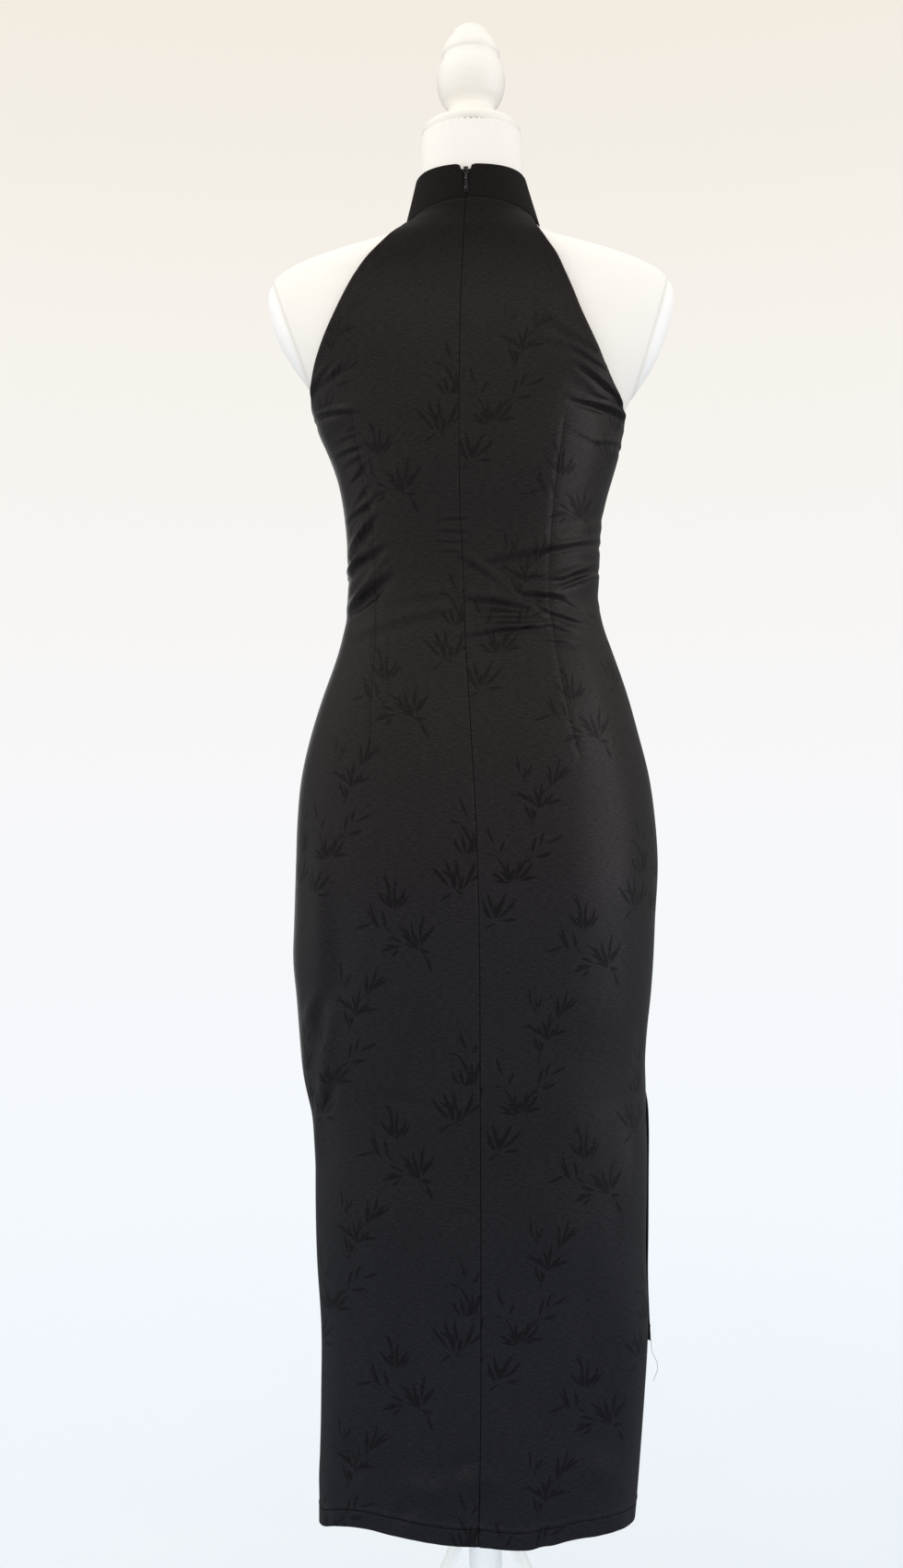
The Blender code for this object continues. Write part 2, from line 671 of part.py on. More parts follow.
def build_collar():
    """One band of two layers round the neck, open at the centre back."""
    around, up = 46, 4
    rise = np.linspace(0, 1, up + 1)[:, None] * np.ones(around + 1)
    share = np.linspace(0, 1, around + 1)[None, :]
    ease = share - 0.35 * np.sin(2 * math.pi * share) / (2 * math.pi)
    seam_x = curve(NECK_BACK_Z, CENTRE_SEAM["z"], CENTRE_SEAM["x"])
    reach = NECK_HALF + (COLLAR_TOP_HALF - NECK_HALF) * rise
    middle = seam_x - COLLAR_TOP_SHIFT * rise
    start = np.arcsin((middle + collar_ends(rise)) / reach)
    stop = 2 * math.pi + np.arcsin((middle - collar_ends(rise)) / reach)
    turn = start + (stop - start) * ease
    outer = collar_points(turn, rise)
    near_end = np.minimum(turn - start, stop - turn) * NECK_HALF
    outer[..., 2] -= NOTCH_ROUND * np.exp(-((near_end / 0.006) ** 2)) * rise**4
    along = np.gradient(outer, axis=1)
    flat = np.stack([along[..., 1], -along[..., 0], 0 * along[..., 0]], -1)
    flat /= np.linalg.norm(flat, axis=-1, keepdims=True)
    outward = np.sum(flat[..., :2] * outer[..., :2], axis=-1).mean() > 0
    inner = outer - flat * COLLAR_WALL * (1 if outward else -1)
    add("collar", *wall(outer, inner), "satin")


def collar_back(z, off):
    """The collar's outer face beside the centre back, at a distance off from the seam's line."""
    rise = (z - NECK_BACK_Z) / (COLLAR_TOP_BACK_Z - NECK_BACK_Z)
    reach = NECK_HALF + (COLLAR_TOP_HALF - NECK_HALF) * rise
    x = curve(z, CENTRE_SEAM["z"], CENTRE_SEAM["x"]) + off
    points = collar_points(np.arcsin((x - COLLAR_TOP_SHIFT * rise) / reach), rise)
    points[..., 2] = z
    return points


def build_zip(backs):
    """The tapes and coil behind the seam, the slider at the top and its hinged pull."""
    strips, inwards = [], []
    for (points, inward), seam, beside in ((backs[0], -1, -2), (backs[1], 0, 1)):
        shares = TAPE_SHARES if seam == 0 else TAPE_SHARES[::-1]
        step = points[:, beside] - points[:, seam]
        strips += [points[:, seam] + share * step for share in shares]
        turn = inward[:, beside] - inward[:, seam]
        inwards += [inward[:, seam] + share * turn for share in shares]
    face, inward = np.stack(strips, 1), np.stack(inwards, 1)
    kept = face[:, 2, 2] > TAPE_FOOT
    face, inward = face[kept], inward[kept]
    low = face + inward * (CLOTH + SEAM_GAP + TAPE_SLACK)
    heights = np.linspace(TAPE_TOP, NECK_BACK_Z + 0.0010, 4)
    z, off = np.meshgrid(heights, face[0, :, 0] - face[0, 2:4, 0].mean(), indexing="ij")
    high = collar_back(z, off)
    rise = (z - NECK_BACK_Z) / (TAPE_TOP - NECK_BACK_Z)
    high[..., 1] -= COLLAR_WALL + SEAM_GAP + 4 * TAPE_SLACK * rise
    outer = np.concatenate([high, low])
    inward = np.concatenate([high * 0 + [0.0, -1.0, 0.0], inward])
    thick = TAPE_THICK + COIL_RISE * (np.array(TAPE_SHARES[::-1] + TAPE_SHARES) <= TAPE_SHARES[1])
    add("zip_tape", *wall(outer, outer + inward * thick[None, :, None]), "zip_cloth")

    at = collar_back(np.array([PULL_PIVOT_Z, 1.512]), np.zeros(2))
    lean = math.atan2(at[1, 1] - at[0, 1], at[0, 2] - at[1, 2])
    outward = np.array([0.0, math.cos(lean), math.sin(lean)])
    pivot = at[0] + outward * PULL_STAND_OFF
    mm = 0.001
    tip = np.array([[1, 0, 0], [0, math.cos(lean), -math.sin(lean)], [0, math.sin(lean), math.cos(lean)]])
    body = [(i, 0, k) for i in range(3) for k in range(5)]
    crown = [(1, j, k) for j in (1, 2, 3) for k in (1, 2, 3) if (j, k) != (2, 2)]
    verts, faces = blocks(SLIDER_ACROSS, SLIDER_OUT, SLIDER_UP, body + crown)
    add("zip_slider", verts * mm @ tip.T + pivot, faces, "zip_metal", smooth=False)
    verts, faces = slab(*pull_outline(), PULL_HALF_THICK)
    add("zip_pull", verts * mm @ tip.T, faces, "zip_metal", smooth=False, at=pivot)


def pull_outline():
    """The pull's flat shape: a window for the slider's crown, a waisted strip and a round eye."""
    rows = ((1.5, 0.9, 0.4), (1.5, 0.9, -0.4), (1.5, 0.9, -2.6), (1.2, 0.7, -12.0), (1.5, 0.7, -20.3))
    points = [(x, z) for wide, inner, z in rows for x in (-wide, -inner, inner, wide)]
    faces = []
    for row in range(len(rows) - 1):
        for col in range(3):
            if (row, col) != (1, 1):
                corner = 4 * row + col
                faces.append([corner, corner + 1, corner + 5, corner + 4])
    last = len(points)
    rim = [last - 1] + [last + i for i in range(6)] + [last - 4, last - 3, last - 2]
    for angle in (0, -40, -75, -105, -140, -180):
        turn = math.radians(angle)
        points.append((2.0 * math.cos(turn), PULL_EYE_Z + 2.0 * math.sin(turn)))
    hole = []
    for i in rim:
        angle = math.atan2(points[i][1] - PULL_EYE_Z, points[i][0])
        hole.append(len(points))
        points.append((PULL_EYE_RADIUS * math.cos(angle), PULL_EYE_Z + PULL_EYE_RADIUS * math.sin(angle)))
    for i in range(len(rim)):
        following = (i + 1) % len(rim)
        faces.append([rim[i], rim[following], hole[following], hole[i]])
    return points, faces


def slab(points, faces, half_thick):
    """A flat shape in X and Z made into a plate with its outer faces towards +Y and -Y."""
    count = len(points)
    verts = [(x, half_thick, z) for x, z in points] + [(x, -half_thick, z) for x, z in points]
    turned_faces = []
    for face in faces:
        loop = [points[i] for i in face]
        area = sum(loop[i - 1][0] * loop[i][1] - loop[i][0] * loop[i - 1][1] for i in range(len(loop)))
        turned_faces.append(face if area < 0 else face[::-1])
    edges = {}
    for face in turned_faces:
        for i in range(len(face)):
            edges[(face[i - 1], face[i])] = True
    solid = [list(face) for face in turned_faces]
    solid += [[i + count for i in face[::-1]] for face in turned_faces]
    for a, b in edges:
        if (b, a) not in edges:
            solid.append([b, a, a + count, b + count])
    return np.array(verts, float), solid


def build_torso():
    """The form's body, arm caps and neck as one smooth solid."""
    around = 32
    sweep = np.linspace(0, 2 * math.pi, around, endpoint=False)
    rings = []
    for z in FORM_HEIGHTS:
        level = np.full(around, z)
        if z >= FORM_NECK["z"][0]:
            left = right = curve(level, FORM_NECK["z"], FORM_NECK["side"])
            back = curve(level, FORM_NECK["z"], FORM_NECK["back"])
            front = curve(level, FORM_NECK["z"], FORM_NECK["front"])
        else:
            side = curve(level, FORM_INSET["z"], FORM_INSET["side"])
            deep = curve(level, FORM_INSET["z"], FORM_INSET["deep"])
            left = curve(level, BODY["z"], BODY["left"]) - side
            right = curve(level, BODY["z"], BODY["right"]) - side
            back = curve(level, BODY["z"], BODY["back"]) - deep
            front = curve(level, BODY["z"], BODY["front"]) - deep
        x = np.where(np.sin(sweep) >= 0, left, right) * np.sin(sweep)
        bow = np.maximum(1 - np.abs(np.sin(sweep)) ** SECTION_POWER, 0) ** (1 / SECTION_POWER)
        y = np.where(np.cos(sweep) >= 0, back, -front) * bow
        if z < FORM_NECK["z"][0]:
            for bust_x, bust_z in zip(BUST["x"], BUST["z"]):
                away2 = (x - bust_x) ** 2 + (z - bust_z) ** 2
                rise = BUST_RISE * np.exp(-away2 / BUST_REACH**2) * bow
                y = y - np.where(np.cos(sweep) < 0, rise, 0.0)
        rings.append(np.stack([x, y, level], -1))
    add("form_torso", *loft(rings), "jersey")


def build_stand():
    """The neck plate, the knob, the pole, the hub and three curved legs."""
    turned("form_knob", KNOB_PROFILE, "painted_wood", 22)
    turned("form_neck_plate", PLATE_PROFILE, "painted_wood", 28)
    top = TORSO_FOOT - SEAM_GAP
    pole = (
        (0.0, top),
        (POLE_RADIUS, top),
        (POLE_RADIUS, POLE_FOOT + 0.006),
        (POLE_RADIUS - 0.005, POLE_FOOT + 0.001),
        (0.0, POLE_FOOT),
    )
    turned("stand_pole", pole, "painted_wood", 24)
    turned("stand_hub", HUB_PROFILE, "painted_wood", 24, closed_ring=True)
    around = np.linspace(0, 2 * math.pi, 12, endpoint=False)
    for name, heading in (("front", -90.0), ("left", 30.0), ("right", 150.0)):
        angle = math.radians(heading)
        radial = np.array([math.cos(angle), math.sin(angle), 0.0])
        across = np.array([-math.sin(angle), math.cos(angle), 0.0])
        up = np.array([0.0, 0.0, 1.0])
        rings = []
        for out, z, deep, tilt in zip(*(LEG_LINE[k] for k in ("out", "z", "half_deep", "tilt"))):
            lean = math.radians(tilt)
            deep_axis = radial * math.cos(lean) + up * math.sin(lean)
            middle = radial * out + up * z
            ring = [
                middle + across * LEG_HALF_WIDTH * math.sin(a) + deep_axis * deep * math.cos(a)
                for a in around
            ]
            rings.append(ring)
        rings = np.array(rings)
        rings[..., 2] = np.maximum(rings[..., 2], 0.0)
        add("stand_leg_" + name, *loft(rings), "painted_wood")


clear_scene()
collection = bpy.data.collections.new("halter_cheongsam_on_form")
bpy.context.scene.collection.children.link(collection)
whole = bpy.data.objects.new("dress_and_form", None)
whole.location = (0.0, FORM_Y, 0.0)
collection.objects.link(whole)
backs = build_panels()
build_collar()
build_zip(backs)
build_torso()
build_stand()
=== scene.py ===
"""The looks of a halter cheongsam on its dress form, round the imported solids, in metres.

The dress faces -Y and its back faces +Y. Each panel is a thin wall of satin on the same sections as
its solid: x = half * sin(sweep) and y = edge + (crown - edge) * (1 - |sin(sweep)|^n)^(1/n), with the
creases standing out of it or dipping into it. Heights and widths are those of the solids' source, and
every point is worked out with the stand's pole on X = 0, Y = 0, then moved back to where the form is.
"""
import math

import bpy
import numpy as np
from mathutils import Matrix


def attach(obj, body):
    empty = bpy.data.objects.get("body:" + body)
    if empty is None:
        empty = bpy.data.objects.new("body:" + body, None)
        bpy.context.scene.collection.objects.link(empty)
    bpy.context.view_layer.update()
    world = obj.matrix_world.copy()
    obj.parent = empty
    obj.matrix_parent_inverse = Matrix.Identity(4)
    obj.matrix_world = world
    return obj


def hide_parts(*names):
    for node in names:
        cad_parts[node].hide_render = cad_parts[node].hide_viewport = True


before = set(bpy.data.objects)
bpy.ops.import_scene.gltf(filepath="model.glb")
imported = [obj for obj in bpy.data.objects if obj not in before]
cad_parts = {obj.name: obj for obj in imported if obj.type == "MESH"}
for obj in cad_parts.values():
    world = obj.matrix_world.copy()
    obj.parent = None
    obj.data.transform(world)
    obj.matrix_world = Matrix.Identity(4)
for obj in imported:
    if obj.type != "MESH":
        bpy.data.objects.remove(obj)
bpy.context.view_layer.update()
DRESS, PULL = "dress_and_form", "pull_tab"

# Where the photograph was taken from, and its size in pixels
PHOTO_WIDE, PHOTO_HIGH, FOCAL = 980, 1701, 1500
CAMERA_X, CAMERA_AWAY, CAMERA_Z, CAMERA_ROLL = 0.0252, 1.32, 0.975, 0.00994

# Sizes of the cloth, how deep its creases are in all, and how strong the shade painted along its sewn lines
# is
SATIN = 0.0007
TURNED = 0.0012
TURNING = 0.012
HEM_DEEP = 0.0150
CREASE_DEPTH = 2.6
SEAM_SHADE, HEM_SHADE, DART_SHADE = 1.0, 0.8, 0.5
COLLAR_WALL = 0.0016
SEAM_GAP = 0.0003
SEAM_LAP = 0.0003
SECTION_POWER = 2.2
SLIT_TOP = 0.690
BACK_TOP = 1.5005
FRONT_TOP = 1.4915
BACK_HEM = 0.3035
FRONT_HEM = 0.3920
HANG_FROM = 0.42
PUCKER_FROM = 0.98
TAKEN_IN, TAKEN_IN_FROM = 0.005, 0.93
LEFT_UNDERARM = 1.330
RIGHT_UNDERARM = 1.312

# Sizes of the neckline, the collar, the zip and the form
NECK_HALF = 0.0655
NECK_BACK_Z = 1.5080
NECK_SIDE_Z = 1.4991
NECK_FRONT_Z = 1.4521
COLLAR_TOP_HALF = 0.0526
COLLAR_TOP_SHIFT = 0.0010
COLLAR_TOP_BACK = 0.0548
COLLAR_TOP_FRONT = 0.0560
COLLAR_TOP_BACK_Z = 1.5430
COLLAR_TOP_SIDE_Z = 1.5455
COLLAR_TOP_FRONT_Z = 1.4960
NOTCH_HALF = 0.0055
NOTCH_FOOT = 0.46
NOTCH_ROUND = 0.0009
TAPE_TOP = 1.5385
TAPE_FOOT = 0.985
TAPE_BEHIND_SATIN = 0.0009
TAPE_BEHIND_COLLAR = 0.0006
FORM_Y = 0.0564
FORM_TOP = 1.588
NECK_FROM = 1.4900
JERSEY_CLEAR = 0.0004
TORSO_FOOT = 0.790
POLE_RADIUS = 0.0157
POLE_FOOT = 0.205
HUB_RADIUS = 0.0250
HUB_TOP = 0.312
HUB_FOOT = 0.258
LEG_HALF_WIDTH = 0.0070
LEG_RINGS = 111
AXIS_HOLE = 2e-6


def table(names, rows):
    """A table's columns by name, from rows in tenths of a millimetre. Steps and tilts stay as they
    are."""
    columns = zip(names.split(), np.array(sorted(rows), float).T)
    return {name: values if name in ("step", "tilt") else values / 10000 for name, values in columns}


def in_metres(*rows):
    """Rows of millimetres in metres."""
    return tuple(tuple(value / 1000 for value in row) for row in rows)


# The cloth's outer face round the body, a row per height
BODY = table(
    "z left right back front",
    (
        (15080, 640, 640, 640, 570), (14991, 655, 655, 650, 570), (14950, 760, 735, 655, 572),
        (14900, 860, 820, 665, 580), (14835, 1080, 1010, 685, 592), (14760, 1390, 1330, 700, 608),
        (14670, 1690, 1630, 718, 632), (14568, 1890, 1840, 740, 660), (14428, 1975, 1930, 772, 705),
        (14200, 1965, 1930, 828, 795), (13950, 1885, 1855, 875, 900), (13700, 1755, 1765, 908, 1020),
        (13450, 1610, 1620, 920, 1130), (13300, 1545, 1530, 922, 1180), (13120, 1490, 1430, 915, 1210),
        (12900, 1400, 1385, 905, 1200), (12670, 1315, 1318, 890, 1150), (12400, 1260, 1238, 855, 1065),
        (12120, 1230, 1185, 812, 985), (11800, 1212, 1168, 778, 920), (11550, 1214, 1160, 772, 895),
        (11260, 1249, 1197, 800, 905), (10950, 1330, 1303, 862, 950), (10600, 1460, 1420, 950, 1005),
        (10200, 1588, 1527, 1050, 1050), (9800, 1680, 1624, 1120, 1080), (9400, 1722, 1675, 1165, 1095),
        (8950, 1740, 1700, 1180, 1100), (8450, 1760, 1668, 1170, 1105), (8100, 1772, 1650, 1150, 1115),
        (7750, 1740, 1622, 1135, 1130), (7400, 1719, 1576, 1120, 1145), (7050, 1688, 1553, 1110, 1160),
        (6900, 1662, 1560, 1105, 1168),
    ),
)

# The back below the slits, where its side edges hang free
BACK_TAIL = table(
    "z left right edge crown",
    (
        (6700, 1600, 1548, 80, 1095), (6400, 1562, 1540, 190, 1080), (5950, 1550, 1520, 320, 1070),
        (5400, 1532, 1498, 400, 1060), (4700, 1492, 1503, 470, 1050), (4100, 1502, 1453, 500, 1050),
        (3500, 1522, 1405, 500, 1050), (3000, 1530, 1356, 500, 1050),
    ),
)

# The front below the slits
FRONT_TAIL = table(
    "z left right edge crown",
    (
        (6700, 1632, 1606, 80, 1172), (6400, 1600, 1640, 250, 1185), (6000, 1585, 1668, 460, 1208),
        (5200, 1600, 1704, 800, 1262), (4600, 1612, 1728, 1010, 1310), (4100, 1618, 1762, 1180, 1365),
        (3850, 1620, 1782, 1250, 1395),
    ),
)

# Half the width between the armholes, a row per height of the panel's edge
BACK_ARMHOLE = table(
    "z left right",
    (
        (15005, 600, 555), (14950, 645, 562), (14826, 737, 598), (14686, 852, 668), (14567, 960, 740),
        (14376, 1095, 822), (14198, 1195, 892), (14032, 1280, 955), (13875, 1360, 1026), (13721, 1433, 1100),
        (13577, 1493, 1166), (13451, 1530, 1230), (13300, 1545, 1320), (13120, 1490, 1430),
    ),
)
FRONT_ARMHOLE = table(
    "z left right",
    (
        (14915, 600, 600), (14750, 650, 650), (14550, 700, 700), (14300, 775, 765), (14050, 880, 860),
        (13800, 1040, 980), (13600, 1230, 1100), (13450, 1420, 1210), (13300, 1545, 1310),
        (13120, 1490, 1430),
    ),
)

# How far the rows rise at the centre line, for the neckline's curve
NECK_LIFT = table(
    "z back front",
    (
        (15005, 75, -430), (14915, 66, -394), (14700, 40, -330), (14400, 0, -235), (14000, 0, -110),
        (13600, 0, 0),
    ),
)

# The centre back seam, which drifts across the back as it hangs
CENTRE_SEAM = table(
    "z x",
    (
        (15460, 65), (15080, 66), (14670, 95), (14110, 126), (13440, 148), (12630, 157), (12150, 152),
        (11700, 131), (11000, 115), (10480, 90), (9900, 64), (9350, 42), (8800, 29), (6900, 29), (5300, 38),
        (4100, 52), (3000, 82),
    ),
)

# How far the back's hem hangs over its cut line, across the back
BACK_HEM_LINE = table(
    "x lift",
    (
        (-1360, 9), (-1260, 10), (-1163, 14), (-968, 17), (-772, 21), (-675, 10), (-577, -6), (-480, -10),
        (-382, -33), (-285, -34), (-187, -28), (-89, -16), (106, 8), (301, 14), (496, 32), (691, 58),
        (886, 82), (1081, 102), (1276, 83), (1374, 56), (1471, 6), (1530, -22),
    ),
)

# The largest folds, as in the solids: a line in X and Z, its width, and how far it stands out
BACK_FOLDS = in_metres(
    (-116, 1192, -58, 1178, 11, 2.2), (-112, 1166, -44, 1146, 11, 2.4), (-92, 1180, -20, 1163, 10, -1.6),
    (-62, 1141, 4, 1133, 10, -2), (-116, 1150, -66, 1127, 10, -1.6), (-40, 1110, 6, 1124, 11, 2.2),
    (-104, 1113, -2, 1106, 10, -1.6), (-96, 1352, -134, 1318, 11, 2), (-88, 1332, -136, 1300, 10, -1.6),
    (144, 1308, 114, 1316, 10, 1.8), (118, 1180, 92, 1224, 10, 2), (118, 1148, 86, 1192, 10, 2.2),
    (118, 1128, 84, 1154, 10, -1.6), (141, 890, 151, 770, 18, 2.2), (120, 880, 132, 760, 16, -1.8),
)
FRONT_FOLDS = in_metres(
    (118, 1176, 60, 1160, 12, 2.2), (117, 1150, 50, 1140, 12, -1.8), (-114, 1180, -52, 1168, 12, 2),
    (-114, 1146, -40, 1132, 12, 2), (-112, 1126, -30, 1118, 12, -1.6), (134, 1318, 104, 1340, 12, -1.6),
    (-134, 1306, -104, 1334, 12, -1.6), (30, 1100, -34, 1094, 13, -1.4),
)

# The sharp creases of the back where the photograph shows them: from one pixel to another, then how
# wide the crease is and how high it stands on its upper side over its lower one, in millimetres
SEEN_CREASES = (
    # drawn in at the right of the waist
    (598, 596, 648, 589, 4.2, 1.0), (534, 608, 604, 594, 6.5, 0.6), (606, 577, 654, 568, 6.0, -0.5),
    (606, 628, 644, 616, 4.0, 1.1), (560, 625, 612, 629, 4.0, 0.5), (612, 634, 648, 622, 2.4, -0.5),
    (572, 644, 606, 647, 4.2, 1.2), (606, 640, 643, 627, 2.2, 0.6), (506, 649, 545, 653, 5.5, 0.8),
    (540, 652, 580, 662, 5.0, 0.9), (562, 646, 590, 664, 2.6, -0.6), (572, 652, 596, 664, 3.0, 0.6),
    (594, 664, 630, 675, 3.8, 1.0), (522, 669, 592, 670, 3.6, 0.8), (530, 676, 618, 680, 3.6, -0.35),
    (500, 691, 548, 683, 4.0, 0.6), (545, 683, 600, 678, 4.0, 1.1), (598, 678, 622, 686, 3.6, 0.6),
    (592, 695, 620, 697, 3.2, 0.8), (610, 650, 642, 668, 3.2, 0.5), (502, 606, 543, 630, 5.0, 0.6),
    (514, 603, 562, 642, 4.5, -0.35),
    # left of the zip
    (392, 690, 440, 673, 7.0, 0.45), (440, 673, 486, 664, 7.0, 0.45), (442, 650, 494, 643, 6.0, 0.35),
    (480, 563, 506, 562, 2.4, 0.3), (478, 576, 506, 577, 2.4, 0.35), (480, 587, 505, 588, 2.4, 0.3),
    (480, 598, 500, 598, 2.4, 0.3),
    # drawn to the left dart, from the armhole down to the waist
    (339, 425, 353, 402, 4.0, 0.6), (345, 421, 372, 398, 4.0, 0.5), (345, 448, 374, 440, 3.0, -0.4),
    (345, 454, 381, 447, 3.2, 0.9), (376, 469, 383, 465, 2.4, 0.3), (370, 478, 384, 472, 2.6, 0.4),
    (368, 494, 388, 486, 2.8, 0.7), (375, 506, 390, 496, 2.8, 0.4), (384, 520, 394, 506, 3.0, 0.5),
    (386, 548, 398, 528, 3.4, 0.5), (382, 561, 401, 546, 3.6, 0.9), (386, 572, 401, 551, 2.6, -0.6),
    (387, 590, 404, 565, 4.2, 1.2), (381, 612, 403, 584, 3.2, -0.7), (384, 618, 408, 598, 5.5, 1.4),
    (383, 652, 413, 607, 4.5, -0.8), (386, 655, 417, 627, 6.0, 1.4), (384, 668, 408, 650, 4.0, -0.4),
    # off the right armhole
    (626, 434, 680, 461, 3.8, 1.1), (634, 400, 672, 436, 4.0, 1.0), (622, 376, 654, 399, 4.0, 0.6),
    (600, 350, 646, 380, 6.0, 0.4), (586, 366, 626, 380, 5.0, 0.25), (648, 430, 680, 445, 3.0, 0.4),
    (626, 470, 652, 484, 4.0, 0.3), (650, 480, 678, 487, 3.0, 0.5),
)
# The soft folds of the back, seen in the same way: from one pixel to another, the fold's width and
# its rise
SEEN_FOLDS = (
    # down the left edge of the skirt to the slit, and round the slit's top
    (346, 900, 352, 1060, 9, 2.6), (360, 960, 366, 1080, 11, -2.0), (343, 1078, 334, 1110, 5, 2.6),
    (351, 1088, 341, 1150, 6, -3.2), (363, 1084, 352, 1160, 8, 2.8), (349, 1164, 352, 1200, 5, 3.2),
    (346, 1204, 347, 1262, 5, 2.4), (364, 1178, 350, 1208, 4, -2.2),
    # beside the seam
    (506, 850, 509, 930, 4, 1.1), (514, 955, 518, 1020, 4, 0.9), (409, 1186, 462, 1203, 4, -0.9),
    (494, 1322, 512, 1316, 5, -1.0),
    # down the right edge
    (690, 1215, 683, 1330, 9, 1.4), (668, 1225, 664, 1400, 12, -1.2), (690, 1165, 694, 1110, 5, -1.2),
    # long soft falls of the skirt
    (420, 1250, 416, 1500, 18, 1.6), (456, 1300, 450, 1600, 16, -1.5), (612, 1180, 606, 1480, 18, 1.6),
    (640, 1300, 634, 1560, 16, -1.4),
    # the hem, which sags and puckers over its turning
    (496, 1594, 518, 1584, 7, -3.2), (500, 1612, 540, 1606, 10, 1.4), (374, 1572, 388, 1590, 9, -2.8),
    (430, 1650, 446, 1634, 6, -2.6), (444, 1612, 480, 1618, 9, 2.4), (518, 1604, 522, 1660, 7, -2.6),
    (640, 1588, 664, 1600, 12, 2.6), (560, 1560, 556, 1640, 14, 1.2), (352, 1600, 362, 1640, 8, 1.5),
)

# Sharp creases of the hidden front, of the same kinds: a line in X and Z, the crease's width and how
# high it stands on its upper side
FRONT_CREASES = in_metres(
    (117, 1199, 70, 1186, 4.2, 1), (118, 1182, 78, 1174, 3.4, 0.7), (118, 1168, 60, 1152, 4.6, 1.1),
    (117, 1146, 48, 1137, 3.8, -0.5), (117, 1138, 36, 1126, 4.4, 0.9), (-113, 1194, -72, 1188, 4, 1),
    (-114, 1177, -60, 1164, 4.6, 1.1), (-114, 1164, -52, 1155, 3, -0.5), (-114, 1156, -66, 1142, 4, 1),
    (-112, 1138, -40, 1128, 4.4, 0.9), (-110, 1118, -50, 1112, 3.6, 0.6), (134, 1301, 100, 1316, 4, 0.9),
    (128, 1272, 100, 1290, 3.4, 0.7), (122, 1240, 100, 1256, 3, 0.6), (-132, 1294, -100, 1310, 4, 0.9),
    (-126, 1262, -98, 1280, 3.4, 0.7), (86, 1374, 118, 1350, 4.2, 0.8), (-84, 1370, -114, 1344, 4.2, 0.8),
)
# Soft folds of the hidden front, of the same kinds: a line in X and Z, its width and its rise
FRONT_DRAPE = in_metres(
    (152, 880, 158, 770, 10, 1.2), (-150, 900, -154, 760, 12, 1.1), (140, 640, 132, 470, 14, 1),
    (-136, 650, -140, 450, 16, 1.1), (60, 700, 70, 420, 20, 1), (-56, 740, -64, 430, 20, -0.9),
    (12, 600, 4, 410, 18, 0.8),
)

# The four darts of the waist: their lines in X and Z from the top down
BACK_DARTS = (
    (
        (0.114, 1.319), (0.103, 1.249), (0.095, 1.209), (0.093, 1.153), (0.093, 1.102), (0.097, 1.047),
        (0.098, 0.989),
    ),
    (
        (-0.081, 1.310), (-0.071, 1.245), (-0.065, 1.171), (-0.065, 1.142), (-0.072, 1.083),
        (-0.081, 1.032), (-0.091, 0.991),
    ),
)
# The hollow that the cloth is drawn into at the top of the left slit
SLIT_HOLLOW = (((0.1572, 0.704), (0.1562, 0.666)),)
FRONT_DARTS = (
    ((0.082, 1.262), (0.074, 1.210), (0.070, 1.155), (0.073, 1.100), (0.079, 1.040)),
    ((-0.082, 1.262), (-0.074, 1.210), (-0.070, 1.155), (-0.073, 1.100), (-0.079, 1.040)),
)

